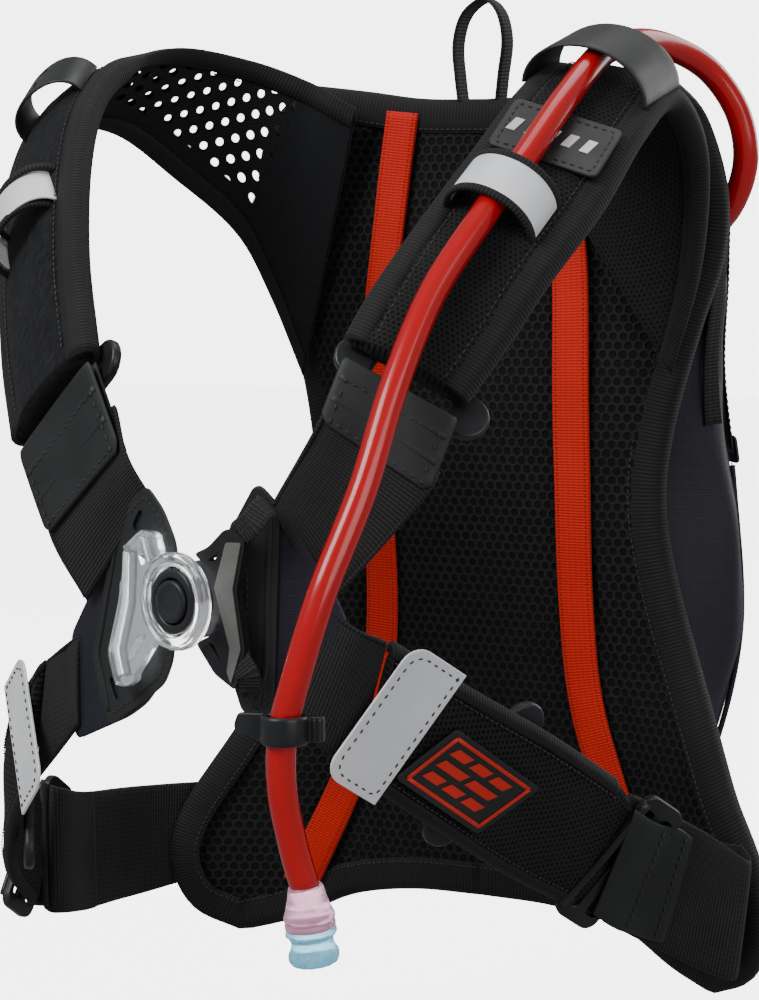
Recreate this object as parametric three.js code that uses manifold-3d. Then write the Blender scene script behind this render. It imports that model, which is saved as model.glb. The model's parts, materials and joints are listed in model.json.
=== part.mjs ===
// Hydration pack with a four-strap chest harness, as a standalone three.js scene graph.
// Millimetres, +Z up. The origin is on the wearer's spine, at mid-height of the back panel's face.
// The wearer faces -Y, so +X is the wearer's left and the water bag lies towards +Y.
import * as THREE from 'three';
import { mergeVertices } from 'three/addons/utils/BufferGeometryUtils.js';
import Module from 'manifold-3d';

const wasm = await Module();
wasm.setup();

// ---------------------------------------------------------------- driving dimensions
const GAP = 0.5; // clearance between touching pieces
const PANEL_T = 8; // padded back panel
const PANEL_BULGE = 13; // how far the panel swells towards the wearer
const LOBE_FORWARD = 32; // how far the hip lobes wrap forward
const SHOULDER_FORWARD = 9; // how far the panel's top corners lean forward
const PAD_T = 9; // shoulder pad
const PAD_CROWN = 3; // rise of a pad's middle over its edges
const TAB_T = 3.4; // coated tab that joins a pad to its elastic
const FLAP_T = 3.6; // waist flap
const ELASTIC_T = 2;
const RED_W = 15; // red webbing
const RED_T = 1.4;
const RED_PROUD = 1.6; // how far it stands off the panel, over the mesh's swell
const HOSE_R = 5.2;
const RING_T = 4; // moulded strap rings
const BUCKLE = new THREE.Vector3(-10, -230, -26); // centre of the chest buckle's round catch
const RING_TURN = -17; // degrees about Z, the way the buckle's ring faces
const BAR_TURN = 8; // degrees about Z, the way the black half's grip faces

const v3 = (x, y, z) => new THREE.Vector3(x, y, z);
const rad = THREE.MathUtils.degToRad;
const clamp01 = (x) => Math.min(1, Math.max(0, x));
const smooth = (x) => clamp01(x) ** 2 * (3 - 2 * clamp01(x));

// ---------------------------------------------------------------- materials
const material = (color, roughness, metalness = 0) =>
  new THREE.MeshStandardMaterial({ color, roughness, metalness });
const paint = {
  mesh: material(0x0c0d0e, 0.95),
  navy: material(0x15151f, 0.6),
  binding: material(0x0a0a0b, 0.9),
  lining: material(0x101114, 0.9),
  elastic: material(0x131314, 0.85),
  hypalon: material(0x222325, 0.6),
  plastic: material(0x17181a, 0.4),
  clear: material(0xd5d9dc, 0.15),
  red: material(0xe0281c, 0.8),
  hose: material(0xd81f26, 0.25),
  silver: material(0xd8dbe0, 0.45),
  patch: material(0x1b1c1d, 0.5),
  bladder: material(0xbfd4dd, 0.3),
  pink: material(0xe3c6d2, 0.35),
  blue: material(0xcfe6ee, 0.35),
};

// ---------------------------------------------------------------- solids from points
function solid(points, faces) {
  const geometry = new THREE.BufferGeometry();
  let volume = 0;
  for (const [a, b, c] of faces) {
    volume += points[a].dot(new THREE.Vector3().crossVectors(points[b], points[c]));
  }
  const order = volume < 0 ? faces.map(([a, b, c]) => [a, c, b]) : faces;
  geometry.setAttribute(
    'position',
    new THREE.Float32BufferAttribute(points.flatMap((p) => [p.x, p.y, p.z]), 3),
  );
  geometry.setIndex(order.flat());
  return geometry;
}

// A body through rings of the same number of points. Point j faces point count-1-j.
function loft(rings, closed = false) {
  const count = rings[0].length;
  const faces = [];
  const bands = closed ? rings.length : rings.length - 1;
  for (let i = 0; i < bands; i++) {
    const a = i * count;
    const b = ((i + 1) % rings.length) * count;
    for (let j = 0; j < count; j++) {
      const k = (j + 1) % count;
      faces.push([a + j, b + j, b + k], [a + j, b + k, a + k]);
    }
  }
  const cap = (start, flip) => {
    for (let j = 0; j < count / 2 - 1; j++) {
      const quad = [start + j, start + j + 1, start + count - 2 - j, start + count - 1 - j];
      const [p, q, r, s] = flip ? quad.reverse() : quad;
      faces.push([p, q, r], [p, r, s]);
    }
  };
  if (!closed) {
    cap(0, false);
    cap((rings.length - 1) * count, true);
  }
  return solid(rings.flat(), faces);
}

// A body between two grids of points, grid[i][j], joined round their edges.
function slab(top, under) {
  const rows = top.length;
  const columns = top[0].length;
  const points = [...top.flat(), ...under.flat()];
  const at = (layer, i, j) => layer * rows * columns + i * columns + j;
  const faces = [];
  const quad = (a, b, c, d) => faces.push([a, b, c], [a, c, d]);
  for (let i = 0; i < rows - 1; i++) {
    for (let j = 0; j < columns - 1; j++) {
      quad(at(0, i, j), at(0, i + 1, j), at(0, i + 1, j + 1), at(0, i, j + 1));
      quad(at(1, i, j), at(1, i, j + 1), at(1, i + 1, j + 1), at(1, i + 1, j));
    }
  }
  for (let i = 0; i < rows - 1; i++) {
    quad(at(0, i, 0), at(1, i, 0), at(1, i + 1, 0), at(0, i + 1, 0));
    quad(at(0, i + 1, columns - 1), at(1, i + 1, columns - 1), at(1, i, columns - 1), at(0, i, columns - 1));
  }
  for (let j = 0; j < columns - 1; j++) {
    quad(at(0, 0, j + 1), at(1, 0, j + 1), at(1, 0, j), at(0, 0, j));
    quad(at(0, rows - 1, j), at(1, rows - 1, j), at(1, rows - 1, j + 1), at(0, rows - 1, j + 1));
  }
  return solid(points, faces);
}

// ---------------------------------------------------------------- booleans
function toManifold(geometry) {
  const bare = geometry.clone();
  bare.deleteAttribute('normal');
  bare.deleteAttribute('uv');
  const merged = mergeVertices(bare, 1e-4);
  return new wasm.Manifold(
    new wasm.Mesh({
      numProp: 3,
      vertProperties: new Float32Array(merged.attributes.position.array),
      triVerts: new Uint32Array(merged.index.array),
    }),
  );
}

function fromManifold(body) {
  const mesh = body.getMesh();
  const geometry = new THREE.BufferGeometry();
  geometry.setAttribute('position', new THREE.BufferAttribute(mesh.vertProperties, 3));
  geometry.setIndex(new THREE.BufferAttribute(mesh.triVerts, 1));
  return geometry;
}

// ---------------------------------------------------------------- extruded outlines
function roundedRectangle(width, height, radius, Kind = THREE.Shape) {
  const [x, y] = [width / 2, height / 2];
  const shape = new Kind();
  shape.moveTo(-x + radius, -y);
  shape.lineTo(x - radius, -y);
  shape.absarc(x - radius, -y + radius, radius, -Math.PI / 2, 0);
  shape.lineTo(x, y - radius);
  shape.absarc(x - radius, y - radius, radius, 0, Math.PI / 2);
  shape.lineTo(-x + radius, y);
  shape.absarc(-x + radius, y - radius, radius, Math.PI / 2, Math.PI);
  shape.lineTo(-x, -y + radius);
  shape.absarc(-x + radius, -y + radius, radius, Math.PI, Math.PI * 1.5);
  return shape;
}

function plate(shape, low, high, curveSegments = 4) {
  const geometry = new THREE.ExtrudeGeometry(shape, {
    depth: high - low,
    bevelEnabled: false,
    curveSegments,
  });
  return geometry.translate(0, 0, low);
}

const outline = (points) => new THREE.Shape(points.map(([x, y]) => new THREE.Vector2(x, y)));

// ---------------------------------------------------------------- back panel's surface
const curve = (points) => new THREE.CatmullRomCurve3(points.map(([x, z]) => v3(x, 0, z)), false, 'catmullrom', 0.5);
const SIDE_EDGE = curve([
  [112, -202], [130, -192], [138, -171], [133, -149], [116, -119], [98, -82], [85, -42], [79, -6], [83, 30], [93, 66],
  [103, 96], [106, 124], [98, 152], [82, 168],
]);
const FOOT_EDGE = curve([[0, -177], [34, -178], [66, -184], [91, -196], [112, -202]]);
const NECK_EDGE = curve([[0, 160], [30, 161], [58, 165], [82, 168]]);

// How far forward (-Y) the panel's wearer-side face stands at a place.
function panelFace(x, z) {
  const across = Math.max(0, 1 - (x / 88) ** 2);
  const bulge = PANEL_BULGE * across * Math.exp(-(((z - 35) / 80) ** 2));
  const lobe = LOBE_FORWARD * clamp01((Math.abs(x) - 62) / 78) ** 1.5 * smooth((-60 - z) / 70);
  const shoulder = SHOULDER_FORWARD * smooth((Math.abs(x) - 40) / 60) * smooth((z - 90) / 60);
  return -(bulge + lobe + shoulder);
}

// The panel's outline filled by a Coons patch: u runs from the spine to the side edge, v from foot to neck.
function panelPlace(u, v) {
  const side = Math.abs(u);
  const foot = FOOT_EDGE.getPoint(side);
  const neck = NECK_EDGE.getPoint(side);
  const edge = SIDE_EDGE.getPoint(v);
  const spine = v3(0, 0, THREE.MathUtils.lerp(-177, 160, v));
  const corners = [
    [FOOT_EDGE.getPoint(0), (1 - side) * (1 - v)],
    [FOOT_EDGE.getPoint(1), side * (1 - v)],
    [NECK_EDGE.getPoint(0), (1 - side) * v],
    [NECK_EDGE.getPoint(1), side * v],
  ];
  const place = foot.multiplyScalar(1 - v).addScaledVector(neck, v);
  place.addScaledVector(spine, 1 - side).addScaledVector(edge, side);
  for (const [corner, share] of corners) {
    place.addScaledVector(corner, -share);
  }
  place.x *= Math.sign(u) || 1;
  return place;
}

function onPanel(x, z, proud = 0) {
  return v3(x, panelFace(x, z) - proud, z);
}

function backPanel() {
  const across = 12;
  const up = 18;
  const grid = (proud) =>
    Array.from({ length: across + 1 }, (_, i) =>
      Array.from({ length: up + 1 }, (_, j) => {
        const p = panelPlace(-1 + (2 * i) / across, j / up);
        return onPanel(p.x, p.z, proud);
      }),
    );
  return slab(grid(0), grid(-PANEL_T));
}

// The panel's border as one loop of points, side by side with its outward direction.
function panelBorder(steps) {
  const half = [];
  const share = [0.2, 0.8]; // where the foot ends and the neck starts
  for (let k = 0; k <= steps; k++) {
    const q = k / steps;
    if (q < share[0]) half.push(FOOT_EDGE.getPoint(q / share[0]));
    else if (q < share[1]) half.push(SIDE_EDGE.getPoint((q - share[0]) / (share[1] - share[0])));
    else half.push(NECK_EDGE.getPoint(1 - (q - share[1]) / (1 - share[1])));
  }
  const mirrored = half.slice(1, -1).reverse().map((p) => v3(-p.x, 0, p.z));
  return [...half, ...mirrored];
}

function edgeBinding() {
  const border = panelBorder(30);
  const count = border.length;
  const near = GAP;
  const far = GAP + 2.4;
  const rings = border.map((p, i) => {
    const along = border[(i + 1) % count].clone().sub(border[(i + count - 1) % count]).normalize();
    const out = v3(along.z, 0, -along.x);
    const section = [[near, -0.8], [far, 1.2], [far, PANEL_T - 1.2], [near, PANEL_T + 0.8]];
    return section.map(([away, deep]) => {
      const q = p.clone().addScaledVector(out, away);
      return v3(q.x, panelFace(p.x, p.z) + deep, q.z);
    });
  });
  return loft(rings, true);
}

// ---------------------------------------------------------------- water bag
const BAG_WALL = 1.6;
const BAG_SEAM = 1.2; // between the panel's back and the bag's rim
const BAG_FLAT = 68; // depth at which the bag's outer face goes flat, where the pack lies when put down
const HOSE_EXIT = v3(99, 22, 112); // where the hose comes through the bag's side
const HOSE_EXIT_RUN = v3(13, -8.5, 16).normalize();
const HOSE_PORT_R = 9.5;

// Half-widths where the bag meets the panel, half-widths at its fullest, and depths, all against height.
const BAG_RIM = curve([
  [60, -156], [76, -140], [84, -110], [82, -60], [73, 0], [82, 50], [95, 95], [97, 125], [86, 146], [70, 152],
]);
const BAG_GIRTH = curve([
  [62, -156], [82, -140], [94, -110], [102, -60], [98, 0], [94, 50], [100, 95], [102, 125], [88, 146], [70, 152],
]);
const BAG_DEPTH = curve([
  [2.4, -156], [38, -140], [59, -110], [71, -60], [70, 0], [61, 50], [44, 95], [31, 125], [14, 146], [2.4, 152],
]);

function bagPoint(angle, v, inset = 0) {
  const boxy = 0.55;
  const height = BAG_DEPTH.getPoint(v);
  const round = (height.x - inset) * Math.max(0, Math.sin(angle)) ** boxy;
  const reach = Math.min(round, BAG_FLAT - inset);
  const width = THREE.MathUtils.lerp(BAG_RIM.getPoint(v).x, BAG_GIRTH.getPoint(v).x, smooth(reach / 34));
  const x = (width - inset) * Math.sign(Math.cos(angle)) * Math.abs(Math.cos(angle)) ** boxy;
  const rim = panelFace(x, height.z) * (1 - smooth(reach / 20));
  return v3(x, PANEL_T + BAG_SEAM + rim + reach, height.z);
}

function bagNormal(angle, v) {
  const step = 0.01;
  const round = bagPoint(angle + step, v).sub(bagPoint(angle - step, v));
  const rise = bagPoint(angle, v + step).sub(bagPoint(angle, v - step));
  return round.cross(rise).normalize();
}

function bagShell() {
  const around = 18;
  const up = 16;
  const grid = (inset) =>
    Array.from({ length: around + 1 }, (_, i) =>
      Array.from({ length: up + 1 }, (_, j) => bagPoint((i / around) * Math.PI, j / up, inset)),
    );
  const shell = toManifold(slab(grid(0), grid(BAG_WALL)));
  const bore = new THREE.CylinderGeometry(HOSE_PORT_R, HOSE_PORT_R, 26, 16);
  bore.applyQuaternion(new THREE.Quaternion().setFromUnitVectors(v3(0, 1, 0), HOSE_EXIT_RUN));
  bore.translate(...HOSE_EXIT.toArray());
  return fromManifold(shell.subtract(toManifold(bore)));
}

// ---------------------------------------------------------------- straps from two edges
const path = (points) => new THREE.CatmullRomCurve3(points.map((p) => v3(...p)), false, 'catmullrom', 0.5);

// A strap between two edge curves. Its outer side is along x (edgeA -> edgeB); thickness may vary along it.
function band(edgeA, edgeB, thickness, { steps = 10, crown = 0, lift = 0, from = 0, to = 1, inset = 0 } = {}) {
  const a = path(edgeA);
  const b = path(edgeB);
  const rings = [];
  for (let i = 0; i <= steps; i++) {
    const u = from + ((to - from) * i) / steps;
    const [start, end] = [a.getPoint(u), b.getPoint(u)];
    const span = end.clone().sub(start);
    const step = 0.01;
    const later = a.getPoint(Math.min(1, u + step)).add(b.getPoint(Math.min(1, u + step)));
    const earlier = a.getPoint(Math.max(0, u - step)).add(b.getPoint(Math.max(0, u - step)));
    const out = later.sub(earlier).cross(span).normalize();
    const deep = typeof thickness === 'function' ? thickness(u) : thickness;
    const edge = inset / span.length();
    const spot = (s, rise) =>
      start.clone().addScaledVector(span, THREE.MathUtils.lerp(edge, 1 - edge, s)).addScaledVector(out, rise);
    const shares = [0, 0.08, 0.5, 0.92, 1];
    const rises = [0.25, 0.5, 0.5 + crown / deep, 0.5, 0.25];
    rings.push([
      ...shares.map((s, k) => spot(s, lift + deep * rises[k])),
      ...shares.map((s, k) => spot(1 - s, lift - deep * Math.min(0.5, rises[4 - k]))),
    ]);
  }
  return loft(rings);
}

// Moves a geometry built round the origin to a place: its +Y runs along, its +Z faces out.
function place(geometry, origin, out, along) {
  const y = along.clone().normalize();
  const x = y.clone().cross(out).normalize();
  const z = x.clone().cross(y);
  return geometry.applyMatrix4(new THREE.Matrix4().makeBasis(x, y, z).setPosition(origin));
}

// A moulded ring with two slots, lying in its local X-Y plane.
function slottedRing(width, length, bar = 3.2, thick = RING_T) {
  const shape = roundedRectangle(width, length, 5);
  shape.holes.push(roundedRectangle(width - 5 * bar, length - 2 * bar, 3, THREE.Path));
  return plate(shape, -thick / 2, thick / 2, 3);
}

// A ladder lock: a ring with a middle bar and a raised lip.
function ladderLock(width, length) {
  const shape = roundedRectangle(width, length, 3);
  for (const side of [-1, 1]) {
    const slot = roundedRectangle(width - 7, length / 2 - 4.5, 1.2, THREE.Path);
    const moved = slot.getPoints(3).map((p) => new THREE.Vector2(p.x, p.y + (side * length) / 4));
    shape.holes.push(new THREE.Path(moved));
  }
  return plate(shape, -1.6, 1.6, 3);
}

// ---------------------------------------------------------------- harness edges
// Each strap is given by its two edges, the one nearer the chest's middle first, from the pack outwards.
const RIGHT = {
  pad: [
    [[-34, -12, 152], [-52, -18, 160], [-72, -21, 170], [-93, -37, 178], [-108, -70, 182], [-111, -103, 174],
      [-108, -130, 159], [-98, -156, 134], [-82, -182, 98], [-61, -206.5, 61]],
    [[-88, -8, 44], [-98, -10, 78], [-110, -20, 108], [-127, -42, 131], [-143, -68, 150], [-157, -98, 148],
      [-152, -127, 121], [-138, -151, 88], [-122, -172, 54], [-102.5, -193, 25]],
  ],
  tab: [[[-59, -207.5, 58], [-50, -211, 42], [-41, -214.6, 26.5]], [[-100, -195, 21], [-91, -199, 6], [-82, -202.8, -8.5]]],
  upper: [[[-40, -215, 24.6], [-33.5, -217.4, 16.5]], [[-81, -203.3, -10.2], [-69, -207.6, -26]]],
  lower: [[[-83, -193, -51], [-94, -189, -58]], [[-82, -195, -88], [-100, -189, -105]]],
  flap: [
    [[-96, -188, -60], [-121, -171, -82], [-140, -148, -104], [-146, -122, -122]],
    [[-104, -187, -108], [-126, -169, -132], [-143, -146, -156], [-149, -120, -177]],
  ],
  tail: [
    [[-149, -108, -126], [-152, -80, -134], [-143, -48, -138]],
    [[-149, -108, -181], [-151, -80, -186], [-143, -48, -188]],
  ],
};
const LEFT = {
  pad: [
    [[24, -14, 150], [33, -20, 156], [43, -30, 163], [53, -52, 168], [57, -88, 157], [54, -120, 134],
      [46, -150, 106], [40, -175, 82], [37, -189, 66]],
    [[88, -8, 50], [101, -12, 92], [110, -30, 134], [108, -54, 156], [107, -86, 141], [103, -115, 114],
      [94, -145, 86], [84, -164, 60], [77, -177, 44]],
  ],
  tab: [[[37, -192, 60], [33, -203, 38]], [[77, -180, 38], [69, -188, 12]]],
  upper: [[[33, -205, 36], [24, -219, 12]], [[68, -190, 10], [44, -210, -20]]],
  lower: [[[50, -208, -34], [58, -198, -40]], [[34, -212, -74], [44, -198, -88]]],
  flap: [
    [[59, -197, -41], [76, -165, -62], [92, -128, -84], [106, -82, -112]],
    [[45, -196, -89], [58, -162, -112], [70, -124, -136], [86, -80, -160]],
  ],
  tail: [
    [[108, -78, -114], [124, -58, -128], [141, -46, -142]],
    [[88, -76, -163], [112, -57, -180], [134, -46, -190]],
  ],
};
const PAD_STEPS = 14;
const padDepth = (u) => PAD_T * THREE.MathUtils.lerp(0.45, 1, smooth(u / 0.15));

// The point and directions of a strap at a share of its length and width.
function strapFrame([edgeA, edgeB], u, s = 0.5) {
  const [a, b] = [path(edgeA), path(edgeB)];
  const mid = (w) => a.getPoint(w).lerp(b.getPoint(w), s);
  const along = mid(Math.min(1, u + 0.01)).sub(mid(Math.max(0, u - 0.01))).normalize();
  const across = b.getPoint(u).sub(a.getPoint(u)).normalize();
  return { point: mid(u), along, across, out: along.clone().cross(across).normalize() };
}

// ---------------------------------------------------------------- things on the panel
function hangLoop() {
  const rise = new THREE.Shape();
  const [outer, inner, foot] = [13, 11, 30];
  rise.moveTo(-outer, 0);
  rise.lineTo(-outer, foot);
  rise.absarc(0, foot, outer, Math.PI, 0, true);
  rise.lineTo(outer, 0);
  rise.lineTo(inner, 0);
  rise.lineTo(inner, foot);
  rise.absarc(0, foot, inner, 0, Math.PI, false);
  rise.lineTo(-inner, 0);
  return plate(rise, -6, 6, 5).rotateX(Math.PI / 2).translate(-2, 4, 165);
}

function redWebbing(side) {
  const centre = [
    [37, 156], [41, 120], [45, 70], [46, 10], [46, -50], [50, -90], [62, -128], [78, -164], [84, -178],
  ];
  const flat = new THREE.CatmullRomCurve3(centre.map(([x, z]) => v3(side * x, 0, z)), false, 'catmullrom', 0.5);
  const steps = 18;
  const edges = [-1, 1].map((edge) =>
    Array.from({ length: steps + 1 }, (_, i) => {
      const p = flat.getPoint(i / steps);
      const run = flat.getTangent(i / steps);
      const reach = (edge * RED_W) / 2;
      return onPanel(p.x + run.z * reach, p.z - run.x * reach, RED_PROUD).toArray();
    }),
  );
  return band(edges[1], edges[0], RED_T, { steps, lift: RED_T / 2 });
}

// ---------------------------------------------------------------- zip over the top of the bag
const ZIP_LOW = 0.47; // heights on the bag, as shares of its side curves
const ZIP_HIGH = 0.84;
const ZIP_SIDE = rad(36);

function zipTrack(u) {
  const straight = 0.42;
  const turn = clamp01((Math.abs(u) - straight) / 0.2);
  const sweep = Math.PI / 2 - (Math.PI / 2 - ZIP_SIDE) * smooth(Math.min(1, Math.abs(u) / (straight + 0.2)));
  const angle = u > 0 ? sweep : Math.PI - sweep;
  const fall = clamp01((Math.abs(u) - straight) / (1 - straight));
  return { angle, v: THREE.MathUtils.lerp(ZIP_HIGH, ZIP_LOW, fall * (0.4 + 0.6 * turn)) };
}

function zipBand(width, thickness, lift) {
  const steps = 36;
  const rings = [];
  for (let i = 0; i <= steps; i++) {
    const u = -1 + (2 * i) / steps;
    const here = zipTrack(u);
    const next = zipTrack(Math.min(1, u + 0.02));
    const last = zipTrack(Math.max(-1, u - 0.02));
    const point = bagPoint(here.angle, here.v);
    const run = bagPoint(next.angle, next.v).sub(bagPoint(last.angle, last.v)).normalize();
    const out = bagNormal(here.angle, here.v);
    if (out.dot(v3(point.x, point.y, point.z > 100 ? 40 : 0)) < 0) out.negate();
    const across = run.clone().cross(out).normalize();
    const spot = (s, h) => point.clone().addScaledVector(across, (s * width) / 2).addScaledVector(out, lift + h);
    rings.push([spot(-1, thickness), spot(1, thickness), spot(1, 0), spot(-1, 0)]);
  }
  return loft(rings);
}

// ---------------------------------------------------------------- inside the bag
const BLADDER = { centre: v3(0, 35, -38), half: v3(60, 19, 98) };

function bladder() {
  const body = new THREE.SphereGeometry(1, 20, 12).rotateX(Math.PI / 2);
  const corners = body.attributes.position;
  for (let i = 0; i < corners.count; i++) {
    const round = [corners.getX(i), corners.getY(i), corners.getZ(i)];
    corners.setXYZ(i, ...round.map((c) => Math.sign(c) * Math.abs(c) ** 0.75));
  }
  return body.scale(...BLADDER.half.toArray()).translate(...BLADDER.centre.toArray());
}

function bladderSlide() {
  const profile = roundedRectangle(11, 7, 2);
  const bar = plate(profile, -58, 58, 3).rotateY(Math.PI / 2);
  return bar.translate(0, BLADDER.centre.y, BLADDER.centre.z + BLADDER.half.z + 9);
}

const PORT = v3(26, 56, -92); // where the hose leaves the bladder

function bladderPort() {
  const flange = new THREE.CylinderGeometry(12, 12, 3, 20).translate(PORT.x, PORT.y, PORT.z);
  const neck = new THREE.CylinderGeometry(5, 5, 8, 16).translate(PORT.x, PORT.y + 3, PORT.z);
  const stub = new THREE.CylinderGeometry(6.2, 6.2, 12, 16).rotateX(Math.PI / 2);
  stub.translate(PORT.x, PORT.y + 7, PORT.z + 1.8);
  return fromManifold(toManifold(flange).add(toManifold(neck)).add(toManifold(stub)));
}

// ---------------------------------------------------------------- hose
const HOSE_PATH = [
  [26, 63, -83], [27, 63, -74], [36, 64, -50], [52, 66, -18], [61, 60, 14], [65, 53, 44], [70, 45, 68],
  [77, 35, 88], [89, 25, 103], [104, 19, 118], [111, 15, 136], [109, 10, 155], [101, -1, 171],
  [92, -19, 179], [87, -44, 180], [85, -74, 173], [84, -104, 155.5], [80, -132, 132], [74, -157, 109],
  [67, -182, 82], [64, -205, 50], [62, -224, 16], [55, -239, -17], [48, -245, -46], [43, -246, -66],
  [42, -245, -86], [44, -241, -106], [47, -238, -121],
];

function hose() {
  const section = new THREE.Shape();
  section.absarc(0, 0, HOSE_R, 0, 2 * Math.PI);
  return new THREE.ExtrudeGeometry(section, {
    steps: 54,
    curveSegments: 5,
    extrudePath: path(HOSE_PATH),
    bevelEnabled: false,
  });
}

const VALVE_TOP = v3(47.2, -237.8, -121.8);
const VALVE_DOWN = v3(0.075, 0.11, -1).normalize();

function turned(profile, along = 0, segments = 20) {
  const lathe = new THREE.LatheGeometry(profile.map(([r, h]) => new THREE.Vector2(r, h)), segments);
  const turn = new THREE.Quaternion().setFromUnitVectors(v3(0, 1, 0), VALVE_DOWN);
  const spot = VALVE_TOP.clone().addScaledVector(VALVE_DOWN, along);
  return lathe.applyQuaternion(turn).translate(...spot.toArray());
}

const valveCollar = () => turned([[0, 0], [6.4, 0], [8, 4], [8.9, 9], [8.9, 13.5], [0, 13.5]]);
const mouthpiece = () => turned([[0, 0], [8.2, 0], [8.8, 2], [7.4, 6], [8.8, 9], [7.6, 12.5], [0, 12.5]], 14);

function hoseClip() {
  const grip = new THREE.Shape();
  grip.absarc(0, 0, HOSE_R + 2.6, -0.9 * Math.PI, 0.75 * Math.PI);
  grip.absarc(0, 0, HOSE_R + 1.1, 0.75 * Math.PI, -0.9 * Math.PI, true);
  const collar = toManifold(plate(grip, -5, 5, 8));
  const tail = toManifold(new THREE.BoxGeometry(18, 2, 10).translate(-HOSE_R - 7, 6.5, 0));
  return fromManifold(collar.add(tail)).translate(43.5, -245.8, -65);
}

// ---------------------------------------------------------------- chest buckle
const facing = (degrees) => v3(Math.sin(rad(degrees)), -Math.cos(rad(degrees)), 0);
const UP = v3(0, 0, 1);
const onRing = (geometry) => place(geometry, BUCKLE, facing(RING_TURN), UP);
const disc = (radius, low, high, segments = 28) =>
  new THREE.CylinderGeometry(radius, radius, high - low, segments).rotateX(Math.PI / 2).translate(0, 0, (low + high) / 2);

const RING = { outer: 17, hole: 13, half: 2 };
const STUD = { radius: 11.6, bore: 8.2, face: 2, base: -3.2, floor: -5.6, back: -7.2 };
const BUTTON = { radius: 7.7, low: -2.6, high: 3 };
const GRIP = v3(BUCKLE.x + 28, BUCKLE.y + 5, BUCKLE.z); // origin of the black half's grip
const GRIP_HALF = 3; // half its thickness

function clearHalf() {
  const bow = outline([
    [-16, 27], [-9, 27], [-5, 15], [-9, -12], [-22, -34], [-32, -33], [-30.5, -22], [-24, -6], [-21.5, 12],
  ]);
  const body = toManifold(disc(RING.outer, -RING.half, RING.half, 36)).add(toManifold(plate(bow, -1.8, 1.8)));
  return onRing(fromManifold(body.subtract(toManifold(disc(RING.hole, -5, 5, 32)))));
}

function blackHalf() {
  const grip = outline([
    [-1, 22.5], [-5, 27], [-9, 26], [-13.5, 21.5], [-19, 17.5], [-13.5, 11], [-11, 4], [-11, -4], [-13.5, -11],
    [-18.5, -14], [-13.5, -20.5], [-8.5, -28], [-5, -31], [-1, -17], [-3.5, 5],
  ]);
  const bar = toManifold(place(plate(grip, -GRIP_HALF, GRIP_HALF), GRIP, facing(BAR_TURN), UP));
  const neck = new THREE.BoxGeometry(21, 16, STUD.base - STUD.back).translate(13, 0, (STUD.base + STUD.back) / 2);
  const base = toManifold(onRing(disc(STUD.radius + 1.6, STUD.back, STUD.base, 28)));
  const stud = toManifold(onRing(disc(STUD.radius, STUD.base - 0.5, STUD.face, 28)));
  const bore = toManifold(onRing(disc(STUD.bore, STUD.floor, STUD.face + 1, 24)));
  return fromManifold(base.add(toManifold(onRing(neck))).add(stud).add(bar).subtract(bore));
}

const button = () => onRing(disc(BUTTON.radius, BUTTON.low, BUTTON.high, 24));

function buttonSpring() {
  const [low, high] = [STUD.floor + 0.3, STUD.floor + 0.8];
  const profile = [[3, low], [6.5, low], [6.5, high], [3, high], [3, low]];
  const lathe = new THREE.LatheGeometry(profile.map(([r, h]) => new THREE.Vector2(r, h)), 16);
  return onRing(lathe.rotateX(Math.PI / 2));
}

// The soft wings that carry the buckle halves and meet the upper and lower elastics.
function wing(points, origin, turn) {
  return place(plate(outline(points), -1.4, 1.4), origin, facing(turn), UP);
}
const leftWing = () =>
  wing([[-19, 39], [-12, 32], [9, 1], [15, -13], [-2.5, -50], [-12, -47], [-24, -43], [-27, -31], [-21, -16],
    [-19, 0], [-21, 14], [-27, 23]], v3(34, -212, -22), 14);
const rightWing = () =>
  wing([[19, 49], [25, 36], [27, 18], [26, -4], [24, -22], [16, -30], [3, -37], [-35, -51], [-36, -30], [-37.5, -11],
    [-25, 4], [-5, 32]], v3(-46, -209, -36), -25);

// ---------------------------------------------------------------- trim on the straps
// A piece lying on a strap: u is its share of the strap's length, lift its height over the strap's middle surface
// shift how far it is moved along the strap and slide how far across it.
function onStrap(edges, key, u, geometry, lift, shift = 0, slide = 0) {
  const frame = strapFrame(edges[key], u);
  const spot = frame.point.clone().addScaledVector(frame.out, lift);
  spot.addScaledVector(frame.along, shift).addScaledVector(frame.across, slide);
  return place(geometry, spot, frame.out, frame.along);
}

// A loop of soft band that stands off a strap: a flat arch closed underneath by the strap itself.
function arch(width, length, height, thickness) {
  const shape = new THREE.Shape();
  const half = width / 2;
  const foot = 7;
  shape.moveTo(-half - foot, 0);
  shape.lineTo(-half + thickness, 0);
  shape.bezierCurveTo(-half + 2, height * 0.9, -half + 8, height - thickness, 0, height - thickness);
  shape.bezierCurveTo(half - 8, height - thickness, half - 2, height * 0.9, half - thickness, 0);
  shape.lineTo(half + foot, 0);
  shape.lineTo(half + foot, thickness);
  shape.lineTo(half, thickness);
  shape.bezierCurveTo(half - 1, height, half - 7, height, 0, height);
  shape.bezierCurveTo(-half + 7, height, -half + 1, height, -half, thickness);
  shape.lineTo(-half - foot, thickness);
  return plate(shape, -length / 2, length / 2, 4).rotateX(Math.PI / 2);
}

// ---------------------------------------------------------------- zip sliders
const SLIDER_AT = 9; // half the distance between the two parked sliders
const SLIDER_UP = 6; // height of a slider's middle over the bag
const PIN = { back: 3.4, up: 4.2, radius: 0.8 }; // the puller's pin, from the slider's middle

function zipSeat() {
  const point = bagPoint(Math.PI / 2, ZIP_HIGH);
  const out = bagNormal(Math.PI / 2, ZIP_HIGH);
  if (out.z < 0) out.negate();
  return { point, out, down: out.clone().cross(v3(1, 0, 0)).normalize() };
}

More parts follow.
